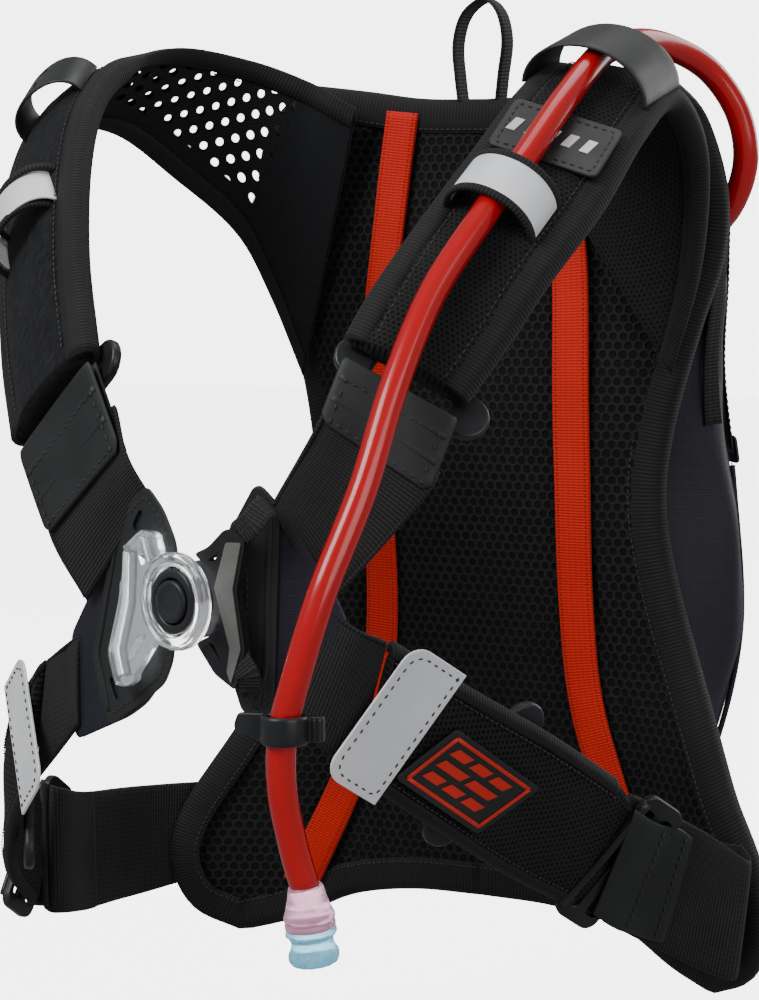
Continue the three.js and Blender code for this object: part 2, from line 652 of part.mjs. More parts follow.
function slider(side) {
  const { point, out, down } = zipSeat();
  const spot = point.clone().addScaledVector(out, SLIDER_UP).setX(side * SLIDER_AT);
  const body = plate(roundedRectangle(9, 11, 3), -1.4, 1.4, 3);
  const pin = new THREE.CylinderGeometry(PIN.radius, PIN.radius, 7, 10).rotateZ(Math.PI / 2).translate(0, -PIN.back, PIN.up);
  const ears = [-1, 1].map((ear) => new THREE.BoxGeometry(1.4, 2.4, 4.4).translate(ear * 3.2, -PIN.back, 3));
  const parts = [body, pin, ...ears].map(toManifold);
  const whole = parts.reduce((sum, part) => sum.add(part));
  return place(fromManifold(whole), spot, out, down.clone().negate());
}

function puller(side) {
  const { point, out, down } = zipSeat();
  const spot = point.clone().addScaledVector(out, SLIDER_UP + PIN.up).addScaledVector(down, PIN.back);
  spot.setX(side * SLIDER_AT);
  const along = (radius, length, sides) =>
    toManifold(new THREE.CylinderGeometry(radius, radius, length, sides).rotateZ(Math.PI / 2));
  const blade = toManifold(plate(roundedRectangle(4.4, 28, 2), -0.6, 0.6, 3).translate(0, -14.5, 0));
  const eye = along(2, 4.4, 14).add(blade).subtract(along(1.2, 6, 10));
  return place(fromManifold(eye), spot, out, down.clone().negate());
}

// ---------------------------------------------------------------- assembly
const pack = new THREE.Group();
function add(name, geometry, look) {
  const mesh = new THREE.Mesh(geometry, look);
  mesh.name = name;
  pack.add(mesh);
  return mesh;
}

add('back_panel', backPanel(), paint.mesh);
add('edge_binding', edgeBinding(), paint.binding);
add('bag_shell', bagShell(), paint.navy);
add('hang_loop', hangLoop(), paint.elastic);
add('left_red_webbing', redWebbing(1), paint.red);
add('right_red_webbing', redWebbing(-1), paint.red);
add('zip_tape', zipBand(18, 0.8, 1.4), paint.plastic);
add('zip_coil', zipBand(5, 0.9, 3.1), paint.plastic);
add('left_zip_slider', slider(1), paint.plastic);
add('right_zip_slider', slider(-1), paint.plastic);
add('left_zip_puller', puller(1), paint.plastic);
add('right_zip_puller', puller(-1), paint.plastic);
add('bladder', bladder(), paint.bladder);
add('bladder_slide', bladderSlide(), paint.plastic);
add('bladder_port', bladderPort(), paint.plastic);
add('hose', hose(), paint.hose);
add('hose_clip', hoseClip(), paint.plastic);
add('bite_valve_collar', valveCollar(), paint.pink);
add('bite_valve_mouthpiece', mouthpiece(), paint.blue);
add('buckle_clear_half', clearHalf(), paint.clear);
add('buckle_black_half', blackHalf(), paint.plastic);
add('buckle_button', button(), paint.plastic);
add('buckle_spring', buttonSpring(), paint.silver);
add('left_wing', leftWing(), paint.navy);
add('right_wing', rightWing(), paint.navy);

// Straps that run forward from the pack face out on one side of their edges, and those that run back on the other.
const FORWARD = ['pad', 'tab', 'upper'];
const facedOut = (edges, side) =>
  Object.fromEntries(
    Object.entries(edges).map(([key, [a, b]]) => [key, FORWARD.includes(key) === side > 0 ? [a, b] : [b, a]]),
  );

for (const [side, name, edges] of [[1, 'left', facedOut(LEFT, 1)], [-1, 'right', facedOut(RIGHT, -1)]]) {
  const strap = (key, thickness, options) => band(...edges[key], thickness, options);
  add(`${name}_pad`, strap('pad', padDepth, { steps: PAD_STEPS, crown: PAD_CROWN }), paint.lining);
  add(`${name}_tab`, strap('tab', TAB_T, { steps: 4 }), paint.hypalon);
  add(`${name}_upper_elastic`, strap('upper', ELASTIC_T, { steps: 4 }), paint.elastic);
  add(`${name}_lower_elastic`, strap('lower', ELASTIC_T, { steps: 4 }), paint.elastic);
  add(`${name}_waist_flap`, strap('flap', FLAP_T, { steps: 8 }), paint.lining);
  add(`${name}_waist_elastic`, strap('tail', ELASTIC_T, { steps: 6 }), paint.elastic);
  add(`${name}_pad_ring`, onStrap(edges, 'pad', 1, slottedRing(62, 17), -7.5, 1, 4), paint.plastic);
  add(`${name}_waist_ring`, onStrap(edges, 'flap', 0.5, slottedRing(64, 17), -7), paint.plastic);
  add(`${name}_ladder_lock`, onStrap(edges, 'tail', 0, ladderLock(58, 20), 5.5, 9), paint.plastic);
  const pull = plate(roundedRectangle(54, 27, 6), -0.6, 0.6, 3);
  add(`${name}_pull_tab`, onStrap(edges, 'flap', 0.06, pull, 4.4), paint.silver);
}

const [left, right] = [facedOut(LEFT, 1), facedOut(RIGHT, -1)];
const padPatch = plate(roundedRectangle(40, 24, 3), 0, 1.2, 3);
const flapPatch = plate(outline([[-14, -18], [-12, 30], [14, 19], [12, -25]]), 0, 1.2);
add('left_hose_band', onStrap(left, 'pad', 0.43, arch(40, 28, 16, 1.2), 8.2), paint.patch);
add('left_pad_patch', onStrap(left, 'pad', 0.58, padPatch, 7.9), paint.patch);
add('left_hose_keeper', onStrap(left, 'pad', 0.69, arch(30, 18, 16, 1.2), 8.2, 0, -3), paint.silver);
add('right_hose_band', onStrap(right, 'pad', 0.6, arch(30, 22, 11, 1.2), 8.6), paint.patch);
add('right_hose_keeper', onStrap(right, 'pad', 0.79, arch(30, 18, 12, 1.2), 8.4), paint.silver);
add('left_flap_patch', onStrap(left, 'flap', 0.4, flapPatch, 3.2, -3, -4), paint.patch);

export default pack;
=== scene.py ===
"""Hydration pack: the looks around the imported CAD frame. Metres, +Z up, the wearer faces -Y."""

import json
import math

import bmesh
import bpy
from mathutils import Matrix, Vector

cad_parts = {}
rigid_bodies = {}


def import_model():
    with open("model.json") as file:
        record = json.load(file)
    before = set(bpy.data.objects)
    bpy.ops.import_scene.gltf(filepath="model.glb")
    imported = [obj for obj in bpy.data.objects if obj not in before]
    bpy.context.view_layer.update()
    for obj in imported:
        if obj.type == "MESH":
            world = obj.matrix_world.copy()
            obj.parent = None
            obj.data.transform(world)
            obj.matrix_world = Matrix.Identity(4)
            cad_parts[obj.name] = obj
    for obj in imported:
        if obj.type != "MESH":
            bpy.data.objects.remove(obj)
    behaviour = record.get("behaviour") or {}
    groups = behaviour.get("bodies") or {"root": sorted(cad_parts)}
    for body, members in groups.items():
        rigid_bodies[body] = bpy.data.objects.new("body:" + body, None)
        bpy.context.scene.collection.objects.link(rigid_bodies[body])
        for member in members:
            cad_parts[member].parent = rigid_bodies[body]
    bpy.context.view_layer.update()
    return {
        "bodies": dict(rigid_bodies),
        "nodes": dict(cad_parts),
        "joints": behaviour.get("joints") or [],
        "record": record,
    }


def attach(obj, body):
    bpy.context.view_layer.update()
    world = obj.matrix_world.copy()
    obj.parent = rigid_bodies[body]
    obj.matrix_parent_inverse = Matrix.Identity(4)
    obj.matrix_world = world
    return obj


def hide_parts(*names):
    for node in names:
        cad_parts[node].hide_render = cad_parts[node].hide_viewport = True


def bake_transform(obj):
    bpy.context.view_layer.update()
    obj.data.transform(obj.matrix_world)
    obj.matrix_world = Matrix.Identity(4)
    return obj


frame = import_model()
MM = 0.001
UP = Vector((0, 0, 1))


# ---------------------------------------------------------------- vectors and curves
def at(x, y, z):
    """A point given in millimetres, in metres."""
    return Vector((x, y, z)) * MM


def clamp01(x):
    return min(1.0, max(0.0, x))


def smooth(x):
    t = clamp01(x)
    return t * t * (3 - 2 * t)


def mix(a, b, t):
    return a + (b - a) * t


def along(points, t):
    """The point at share t of a uniform Catmull-Rom curve through points."""
    spans = len(points) - 1
    place = clamp01(t) * spans
    i = min(int(place), spans - 1)
    f = place - i
    p1, p2 = points[i], points[i + 1]
    p0 = points[i - 1] if i > 0 else p1 * 2 - p2
    p3 = points[i + 2] if i + 2 <= spans else p2 * 2 - p1
    return 0.5 * (
        p1 * 2 + (p2 - p0) * f + (p0 * 2 - p1 * 5 + p2 * 4 - p3) * f * f
        + (p1 * 3 - p0 - p2 * 3 + p3) * f ** 3
    )


def resample(points, count, closed=False):
    """count points at even distances along a polyline."""
    line = list(points) + ([points[0]] if closed else [])
    lengths = [0.0]
    for a, b in zip(line, line[1:]):
        lengths.append(lengths[-1] + (b - a).length)
    total = lengths[-1]
    result, k = [], 0
    for i in range(count):
        want = total * i / (count if closed else count - 1)
        while k < len(line) - 2 and lengths[k + 1] < want:
            k += 1
        span = max(lengths[k + 1] - lengths[k], 1e-9)
        result.append(line[k].lerp(line[k + 1], clamp01((want - lengths[k]) / span)))
    return result


def line_length(points):
    return sum((b - a).length for a, b in zip(points, points[1:]))


def heading(line, i):
    """The way an open line runs at its point i."""
    return (line[min(i + 1, len(line) - 1)] - line[max(i - 1, 0)]).normalized()


def in_metres(edges):
    """The two edges of a strap, given in millimetres."""
    return [[Vector(p) * MM for p in edge] for edge in edges]


def value_at(amount, u):
    """A fixed amount, or one that changes with the share u."""
    return amount(u) if callable(amount) else amount


# ---------------------------------------------------------------- meshes
def mesh_object(name, points, faces, material, uvs=None):
    mesh = bpy.data.meshes.new(name)
    mesh.from_pydata([tuple(p) for p in points], [], faces)
    if uvs:
        layer = mesh.uv_layers.new(name="UVMap")
        for loop in mesh.loops:
            layer.data[loop.index].uv = uvs[loop.vertex_index]
    mesh.polygons.foreach_set("use_smooth", [True] * len(mesh.polygons))
    mesh.materials.append(material)
    piece = bpy.data.objects.new(name, mesh)
    bpy.context.scene.collection.objects.link(piece)
    turned_out = bmesh.new()
    turned_out.from_mesh(mesh)
    bmesh.ops.recalc_face_normals(turned_out, faces=turned_out.faces)
    turned_out.to_mesh(mesh)
    turned_out.free()
    return piece


def tube_faces(rings, count, closed=False):
    faces = []
    for i in range(rings if closed else rings - 1):
        a, b = i * count, ((i + 1) % rings) * count
        for j in range(count):
            k = (j + 1) % count
            faces.append((a + j, b + j, b + k, a + k))
    return faces


def capped_tube(rings, count):
    """The faces of a tube with both its ends closed."""
    last = (rings - 1) * count
    return tube_faces(rings, count) + [tuple(range(count)), tuple(range(last, last + count))]


def add_strand(vertices, faces, rings):
    """Adds a short six-sided strand: rings of centre, two directions across and radius."""
    base = len(vertices)
    for centre, side, out, radius in rings:
        for k in range(6):
            angle = math.pi * k / 3
            vertices.append(centre + (side * math.cos(angle) + out * math.sin(angle)) * radius)
    faces += [tuple(base + q for q in face) for face in capped_tube(len(rings), 6)]


def closed_sheet(name, across, up, place, material):
    """Two grids joined round the rim. place(layer, share across, share up) gives a point and UV."""
    points, uvs, faces = [], [], []
    for layer in (0, 1):
        for i in range(across + 1):
            for j in range(up + 1):
                point, uv = place(layer, i / across, j / up)
                points.append(point)
                uvs.append(uv)
    stride = up + 1
    size = (across + 1) * stride
    for i in range(across):
        for j in range(up):
            a = i * stride + j
            faces.append((a, a + 1, a + stride + 1, a + stride))
            faces.append((a + size, a + stride + size, a + stride + 1 + size, a + 1 + size))
    rim = [i * stride for i in range(across)] + [across * stride + j for j in range(up)]
    rim += [i * stride + up for i in range(across, 0, -1)] + list(range(up, 0, -1))
    for k, a in enumerate(rim):
        b = rim[(k + 1) % len(rim)]
        faces.append((a, b, b + size, a + size))
    return mesh_object(name, points, faces, material, uvs)


def sweep(name, path, ups, section, material):
    """A section of (sideways, upwards) offsets carried along path, with the upward way at each point."""
    points, uvs, run = [], [], 0.0
    for i, p in enumerate(path):
        run += (p - path[i - 1]).length if i else 0.0
        tangent = heading(path, i)
        side = tangent.cross(ups[i]).normalized()
        rise = side.cross(tangent).normalized()
        girth = 0.0
        for j, (s, h) in enumerate(section):
            points.append(p + side * s + rise * h)
            uvs.append((girth, run))
            girth += (Vector(section[(j + 1) % len(section)]) - Vector((s, h))).length
    return mesh_object(name, points, capped_tube(len(path), len(section)), material, uvs)


def round_section(width, height, power=2.4, count=16):
    """A superellipse section."""
    section = []
    for j in range(count):
        a = 2 * math.pi * j / count
        c, s = math.cos(a), math.sin(a)
        section.append((
            width / 2 * math.copysign(abs(c) ** (2 / power), c),
            height / 2 * math.copysign(abs(s) ** (2 / power), s),
        ))
    return section


def strap(name, edges, material, thickness=2 * MM, crown=0.0, lift=0.0, steps=24, columns=9,
          span=(0.0, 1.0), widen=0.0, puff=None, edge_power=8):
    """A strap between two edge curves, its outer face up. puff(u, s) adds height to the outer face."""
    a_line, b_line = in_metres(edges)
    shares = [0.5 - 0.5 * math.cos(math.pi * k / (columns - 1)) for k in range(columns)]
    points, uvs, run, last = [], [], 0.0, None
    for i in range(steps + 1):
        u = mix(*span, i / steps)
        a, b, out = strap_frame(a_line, b_line, u)
        middle = (a + b) / 2
        run += (middle - last).length if last else 0.0
        last = middle
        across = (b - a).normalized() * value_at(widen, u)
        a, b = a - across, b + across
        rise = value_at(lift, u)
        width = (b - a).length
        halves = [(1 - abs(2 * s - 1) ** edge_power) ** 0.5 * value_at(thickness, u) / 2 for s in shares]
        for s, half in zip(shares, halves):
            arch = crown * (1 - (2 * s - 1) ** 2) + (puff(u, s) if puff else 0.0)
            points.append(a.lerp(b, s) + out * (rise + half + arch))
            uvs.append((s * width, run))
        for s, half in list(zip(shares, halves))[-2:0:-1]:
            points.append(a.lerp(b, s) + out * (rise - half + 0.35 * crown * (1 - (2 * s - 1) ** 2)))
            uvs.append((s * width, run))
    count = 2 * columns - 2
    faces = tube_faces(steps + 1, count)
    for start in (0, steps * count):
        for j in range(columns - 1):
            low = [start + j, start + j + 1, start + (count - j - 1) % count, start + (count - j) % count]
            faces.append(tuple(k for n, k in enumerate(low) if k not in low[:n]))
    return mesh_object(name, points, faces, material, uvs)


def strap_frame(a_line, b_line, u):
    """The two edge points of a strap at share u, and its outward direction there."""
    a, b = along(a_line, u), along(b_line, u)
    step = 0.01
    later = along(a_line, u + step) + along(b_line, u + step)
    earlier = along(a_line, u - step) + along(b_line, u - step)
    return a, b, (later - earlier).cross(b - a).normalized()


def strap_line(edges, s, span=(0.0, 1.0), lift=0.0, count=40, inset=0.0):
    """Points and outward directions along a strap at share s of its width; inset keeps off that edge."""
    a_line, b_line = in_metres(edges)
    points, outs = [], []
    for i in range(count):
        a, b, out = strap_frame(a_line, b_line, mix(*span, i / (count - 1)))
        share = s + (inset / (b - a).length) * (1 if s < 0.5 else -1)
        points.append(a.lerp(b, share) + out * lift)
        outs.append(out)
    return points, outs


def strap_cross(edges, u, span, lift, count=20):
    """Points and outward directions across a strap at share u of its length."""
    a, b, out = strap_frame(*in_metres(edges), u)
    return [a.lerp(b, mix(*span, i / (count - 1))) + out * lift for i in range(count)], [out] * count


# Each stitch's rings: share along it, share of its full radius, and height in radii.
STITCH_RINGS = ((-0.5, 0.35, -0.6), (-0.32, 1, 0), (0.32, 1, 0), (0.5, 0.35, -0.6))


def stitches(name, points, outs, pitch, length, radius):
    """A row of thread stitches along a line; pitch, length and radius in millimetres."""
    count = max(2, int(line_length(points) / (pitch * MM)))
    spots = resample(points, count)
    directions = resample(outs, count)
    vertices, faces = [], []
    for i, spot in enumerate(spots):
        tangent = heading(spots, i)
        out = directions[i].normalized()
        side = tangent.cross(out).normalized()
        add_strand(vertices, faces, [
            (spot + (tangent * shift * length + out * sink * radius) * MM, side, out, radius * size * MM)
            for shift, size, sink in STITCH_RINGS])
    return mesh_object(name, vertices, faces, BLACK_THREAD)


def plate(name, outline, thickness, material, origin, out, up, holes=(), edge=0.6 * MM):
    """A flat piece cut to a smooth outline (millimetres, x to the side and y up) with rounded edges."""
    shape = bmesh.new()
    loops = []
    for ring in (outline, *holes):
        verts = [shape.verts.new((x * MM, y * MM, 0)) for x, y in ring]
        loops += [shape.edges.new((verts[i], verts[(i + 1) % len(verts)])) for i in range(len(verts))]
    bmesh.ops.triangle_fill(shape, edges=loops, use_beauty=True)
    bmesh.ops.dissolve_limit(shape, angle_limit=0.01, verts=shape.verts, edges=shape.edges)
    made = bmesh.ops.extrude_face_region(shape, geom=list(shape.faces))
    moved = [v for v in made["geom"] if isinstance(v, bmesh.types.BMVert)]
    bmesh.ops.translate(shape, vec=(0, 0, thickness), verts=moved)
    bmesh.ops.translate(shape, vec=(0, 0, -thickness / 2), verts=shape.verts)
    bmesh.ops.recalc_face_normals(shape, faces=shape.faces)
    mesh = bpy.data.meshes.new(name)
    layer = shape.loops.layers.uv.new("UVMap")
    for face in shape.faces:
        for loop in face.loops:
            loop[layer].uv = (loop.vert.co.x, loop.vert.co.y)
    shape.to_mesh(mesh)
    shape.free()
    y = up.normalized()
    x = y.cross(out).normalized()
    turn = Matrix((x, y, x.cross(y).normalized())).transposed().to_4x4()
    mesh.transform(Matrix.Translation(origin) @ turn)
    mesh.materials.append(material)
    mesh.polygons.foreach_set("use_smooth", [True] * len(mesh.polygons))
    piece = bpy.data.objects.new(name, mesh)
    bpy.context.scene.collection.objects.link(piece)
    bevel = piece.modifiers.new("Bevel", "BEVEL")
    bevel.width = edge
    bevel.segments = 3
    bevel.limit_method = "ANGLE"
    bevel.angle_limit = math.radians(35)
    piece.modifiers.new("Normals", "WEIGHTED_NORMAL").keep_sharp = True
    return piece


def subdivide(piece, levels=1):
    modifier = piece.modifiers.new("Subdivision", "SUBSURF")
    modifier.levels = levels
    modifier.render_levels = levels
    return piece


def arc(cx, cy, radius, start, end, count=8):
    """Points on an arc, angles in degrees."""
    return [
        (cx + radius * math.cos(math.radians(mix(start, end, i / (count - 1)))),
         cy + radius * math.sin(math.radians(mix(start, end, i / (count - 1)))))
        for i in range(count)
    ]


def rounded_rectangle(width, height, radius, count=6):
    x, y = width / 2 - radius, height / 2 - radius
    return (arc(x, -y, radius, -90, 0, count) + arc(x, y, radius, 0, 90, count)
            + arc(-x, y, radius, 90, 180, count) + arc(-x, -y, radius, 180, 270, count))


def rounded_outline(points, radius, count=5):
    """A polygon with its corners turned into small arcs."""
    result = []
    total = len(points)
    for i, (x, y) in enumerate(points):
        here = Vector((x, y))
        before = Vector(points[i - 1]) - here
        after = Vector(points[(i + 1) % total]) - here
        cut = min(radius, before.length / 2.2, after.length / 2.2)
        a, b = here + before.normalized() * cut, here + after.normalized() * cut
        for k in range(count):
            t = k / (count - 1)
            q = a * (1 - t) ** 2 + here * 2 * t * (1 - t) + b * t * t
            result.append((q.x, q.y))
    return result


# ---------------------------------------------------------------- materials
def socket_value(tree, socket, value):
    if isinstance(value, bpy.types.NodeSocket):
        tree.links.new(value, socket)
    elif value is not None:
        socket.default_value = value


class Finish:
    """A procedural material under construction."""

    def __init__(self, name):
        self.material = bpy.data.materials.new(name)
        self.material.use_nodes = True
        self.tree = self.material.node_tree
        self.shader = self.tree.nodes["Principled BSDF"]
        self.bumps = None
        self.uv = self.node("ShaderNodeUVMap").outputs["UV"]
        self.place = self.node("ShaderNodeTexCoord").outputs["Object"]

    def node(self, kind, inputs=None, **settings):
        made = self.tree.nodes.new(kind)
        for key, value in settings.items():
            setattr(made, key, value)
        for key, value in (inputs or {}).items():
            socket_value(self.tree, made.inputs[key], value)
        return made

    def math(self, operation, a, b=None, c=None, clamp=False):
        made = self.node("ShaderNodeMath", operation=operation, use_clamp=clamp)
        for socket, value in zip(made.inputs, (a, b, c)):
            socket_value(self.tree, socket, value)
        return made.outputs[0]

    def noise(self, scale, detail=3, rough=0.55, stretch=None):
        vector = self.place
        if stretch:
            vector = self.node("ShaderNodeMapping", {"Vector": vector, "Scale": stretch}).outputs[0]
        inputs = {"Vector": vector, "Scale": scale, "Detail": detail, "Roughness": rough}
        return self.node("ShaderNodeTexNoise", inputs).outputs["Fac"]

    def ramp(self, value, low, high, out_low=0.0, out_high=1.0):
        inputs = {"Value": value, "From Min": low, "From Max": high, "To Min": out_low, "To Max": out_high}
        return self.node("ShaderNodeMapRange", inputs, interpolation_type="SMOOTHSTEP").outputs[0]

    def blend(self, factor, a, b):
        made = self.node("ShaderNodeMix", data_type="RGBA")
        for socket, value in zip((made.inputs[0], made.inputs[6], made.inputs[7]), (factor, a, b)):
            socket_value(self.tree, socket, (*value, 1) if isinstance(value, tuple) else value)
        return made.outputs[2]

    def split(self, vector=None):
        return self.node("ShaderNodeSeparateXYZ", {"Vector": vector or self.uv}).outputs[:3]

    def wave(self, value, pitch):
        """A smooth 0..1 ripple of the given pitch in metres."""
        turns = self.math("MULTIPLY", value, 2 * math.pi / pitch)
        return self.math("MULTIPLY_ADD", self.math("SINE", turns), 0.5, 0.5)

    def bump(self, height, distance, strength=1.0):
        inputs = {"Height": height, "Distance": distance, "Strength": strength}
        if self.bumps:
            inputs["Normal"] = self.bumps
        self.bumps = self.node("ShaderNodeBump", inputs).outputs[0]

    def done(self, **inputs):
        """Sets the shader's sockets, given by name with _ for each space."""
        for key, value in inputs.items():
            name = key.replace("_", " ")
            if isinstance(value, tuple) and name.endswith(("Color", "Tint")):
                value = (*value, 1)
            socket_value(self.tree, self.shader.inputs[name], value)
        if self.bumps:
            self.tree.links.new(self.bumps, self.shader.inputs["Normal"])
        return self.material


def hole_lattice(f, vector, pitch, stagger=math.sqrt(3)):
    """Distance to the nearest centre of a staggered lattice, in pitches."""
    x, y, _ = f.split(vector)
    u = f.math("DIVIDE", x, pitch)
    v = f.math("DIVIDE", y, pitch * stagger)
    distances = []
    for shift in (0.0, 0.5):
        du = f.math("SUBTRACT", f.math("FRACT", f.math("ADD", u, shift)), 0.5)
        dv = f.math("MULTIPLY", f.math("SUBTRACT", f.math("FRACT", f.math("ADD", v, shift)), 0.5), stagger)
        distances.append(f.math("SQRT", f.math("ADD", f.math("MULTIPLY", du, du),
                                               f.math("MULTIPLY", dv, dv))))
    return f.math("MINIMUM", *distances)


def spacer_mesh(name, pitch, thread=(0.011, 0.011, 0.0125), open_share=0.3, depth=1.0):
    """Knitted mesh with a staggered lattice of holes between threads; the holes and the valleys between yarns
    are darkened as painted shade.
    """
    f = Finish(name)
    hole = (0.0006, 0.0006, 0.0006)
    wobble = f.noise(90, 2)
    away = f.math("ADD", hole_lattice(f, f.uv, pitch), f.math("MULTIPLY_ADD", wobble, 0.16, -0.08))
    rim = f.ramp(away, open_share, open_share + 0.16)
    x, y, _ = f.split()
    yarn = f.wave(f.math("ADD", y, f.math("MULTIPLY", x, 0.6)), 0.55 * MM)
    patchy = f.noise(14, 4)
    # Painted shade: the holes are filled with near black and the valleys between yarns lean towards it.
    fibre = f.math("MULTIPLY", rim, f.math("MULTIPLY_ADD", yarn, 0.35, 0.65))
    colour = f.blend(fibre, hole, f.blend(patchy, thread, tuple(c * 1.7 for c in thread)))
    f.bump(rim, 0.9 * MM * depth)
    f.bump(yarn, 0.12 * MM, 0.6)
    return f.done(Base_Color=colour, Roughness=f.ramp(patchy, 0.2, 0.8, 0.72, 0.9), Sheen_Weight=0.03,
                  Sheen_Roughness=0.4, Specular_IOR_Level=0.22)


def knit(name, dark, light):
    """Heathered knit with columns of small stitches, the gaps between them darkened as painted shade."""
    f = Finish(name)
    pitch = 1.3 * MM
    x, y, _ = f.split()
    column = f.wave(x, pitch)
    row = f.wave(f.math("ADD", y, f.math("MULTIPLY", column, pitch * 0.35)), pitch * 0.8)
    heather = f.noise(420, 4, 0.7, stretch=(1, 1, 0.35))
    broad = f.noise(22, 3)
    stitch = f.math("MULTIPLY", column, row)
    colour = f.blend(f.ramp(heather, 0.38, 0.68), dark, light)
    # Painted shade: where the stitch relief is low, the colour falls to a third of the dark tone.
    colour = f.blend(f.ramp(stitch, 0.0, 0.35, 0.55, 0.0), colour, tuple(c * 0.3 for c in dark))
    f.bump(stitch, 0.35 * MM, 0.9)
    f.bump(broad, 1.2 * MM, 0.35)
    return f.done(Base_Color=colour, Roughness=0.88, Sheen_Weight=0.04, Sheen_Roughness=0.5,
                  Specular_IOR_Level=0.2)


def ribbed(name, dark, light, pitch, cross, height=0.3 * MM, edge_dots=None, width=0.0):
    """Webbing or elastic: fine ribs across the strap, broken by the lengthwise yarns; their relief is painted
    into the colour as shade in the troughs and highlight on the crests.
    """
    f = Finish(name)
    x, y, _ = f.split()
    wander = f.math("MULTIPLY_ADD", f.noise(60, 2), 0.4 * MM, -0.2 * MM)
    rib = f.wave(f.math("ADD", y, wander), pitch)
    yarn = f.wave(f.math("ADD", x, f.math("MULTIPLY", rib, 0.15 * MM)), cross)
    body = f.math("MULTIPLY", rib, f.math("MULTIPLY_ADD", yarn, 0.45, 0.55))
    worn = f.noise(35, 4)
    tone = f.math("MULTIPLY_ADD", worn, 0.45, -0.1)
    # Painted shade and highlight: the colour follows the rib and yarn relief (dark troughs, light crests),
    # with random tone from the noise on top.
    colour = f.blend(f.math("ADD", f.math("MULTIPLY", body, 0.7), tone, clamp=True), dark, light)
    if edge_dots:
        from_middle = f.math("ABSOLUTE", f.math("SUBTRACT", x, width / 2))
        from_row = f.math("ABSOLUTE", f.math("SUBTRACT", from_middle, width / 2 - 1.6 * MM))
        line = f.ramp(from_row, 0.25 * MM, 0.5 * MM, 1.0, 0.0)
        dots = f.math("MULTIPLY", line, f.ramp(f.wave(y, 2.2 * MM), 0.35, 0.6))
        colour = f.blend(f.math("MULTIPLY", dots, 0.75), colour, edge_dots)
    f.bump(body, height)
    return f.done(Base_Color=colour, Roughness=0.8, Sheen_Weight=0.03, Sheen_Roughness=0.45,
                  Specular_IOR_Level=0.25)


def coated(name, dark, light, rough=0.5, grain=900, depth=0.05 * MM):
    """Coated fabric and moulded rubber: nearly smooth, with fine grain and paler worn spots."""
    f = Finish(name)
    fine = f.noise(grain, 4, 0.7)
    broad = f.noise(30, 4)
    colour = f.blend(f.ramp(broad, 0.3, 0.75), dark, light)
    f.bump(fine, depth)
    f.bump(broad, 0.8 * MM, 0.25)
    edge = f.node("ShaderNodeNewGeometry").outputs["Pointiness"]
    worn = f.ramp(edge, 0.52, 0.62)
    colour = f.blend(f.math("MULTIPLY", worn, 0.35), colour, tuple(min(1, c * 2.2) for c in light))
    return f.done(Base_Color=colour, Roughness=f.ramp(f.noise(60, 3), 0.25, 0.75, rough - 0.09, rough + 0.1),
                  Specular_IOR_Level=0.3)


def nylon(name, dark, light):
    """Ripstop nylon: a fine weave with a coarser grid, softly creased; the grid's raised yarns are painted
    lighter as a highlight.
    """
    f = Finish(name)
    x, y, z = f.split(f.place)
    sideways = f.math("ADD", x, y)
    weave = f.math("MULTIPLY", f.wave(sideways, 0.7 * MM), f.wave(z, 0.7 * MM))
    grid = f.math("MAXIMUM", f.ramp(f.wave(sideways, 5 * MM), 0.93, 1.0),
                  f.ramp(f.wave(z, 5 * MM), 0.93, 1.0))
    broad = f.noise(9, 4, 0.5, stretch=(1, 1, 0.6))
    colour = f.blend(broad, dark, light)
    # Painted highlight: the raised grid yarns are coloured lighter than the cloth.
    colour = f.blend(f.math("MULTIPLY", grid, 0.18), colour, tuple(c * 1.8 for c in light))
    f.bump(weave, 0.08 * MM, 0.6)
    f.bump(grid, 0.08 * MM, 0.4)
    f.bump(broad, 5 * MM, 0.6)
    return f.done(Base_Color=colour, Roughness=f.ramp(broad, 0.3, 0.7, 0.5, 0.64), Sheen_Weight=0.03,
                  Sheen_Tint=(0.5, 0.5, 0.8), Specular_IOR_Level=0.3)


def reflective(name):
    f = Finish(name)
    beads = f.node("ShaderNodeTexVoronoi", {"Vector": f.place, "Scale": 2600.0}).outputs["Distance"]
    smudge = f.noise(24, 4)
    colour = f.blend(f.ramp(smudge, 0.3, 0.7), (0.74, 0.76, 0.8), (0.86, 0.87, 0.89))
    f.bump(beads, 0.05 * MM, 0.6)
    return f.done(Base_Color=colour, Roughness=f.ramp(smudge, 0.3, 0.7, 0.36, 0.5), Metallic=0.15,
                  Specular_IOR_Level=0.6, Coat_Weight=0.15, Coat_Roughness=0.4)


def clear_moulding(name):
    f = Finish(name)
    flow = f.noise(60, 3)
    f.bump(flow, 0.15 * MM, 0.5)
    return f.done(Base_Color=(0.93, 0.95, 0.97), Roughness=f.ramp(flow, 0.3, 0.7, 0.04, 0.12), IOR=1.46,
                  Transmission_Weight=0.93, Specular_IOR_Level=0.6, Coat_Weight=0.3, Coat_Roughness=0.1)


def hose_finish(name):
    f = Finish(name)
    broad = f.noise(18, 3)
    layer = f.node("ShaderNodeLayerWeight", {"Blend": 0.35}).outputs["Facing"]
    # Painted shade: the red darkens where the surface turns away from the view, towards the hose's sides.
    colour = f.blend(layer, (0.5, 0.0015, 0.005), (0.26, 0.0006, 0.0025))
    f.bump(broad, 0.5 * MM, 0.3)
    return f.done(Base_Color=colour, Roughness=f.ramp(f.noise(40, 2), 0.3, 0.7, 0.2, 0.27),
                  Specular_IOR_Level=0.45, Coat_Weight=0.25, Coat_Roughness=0.08)


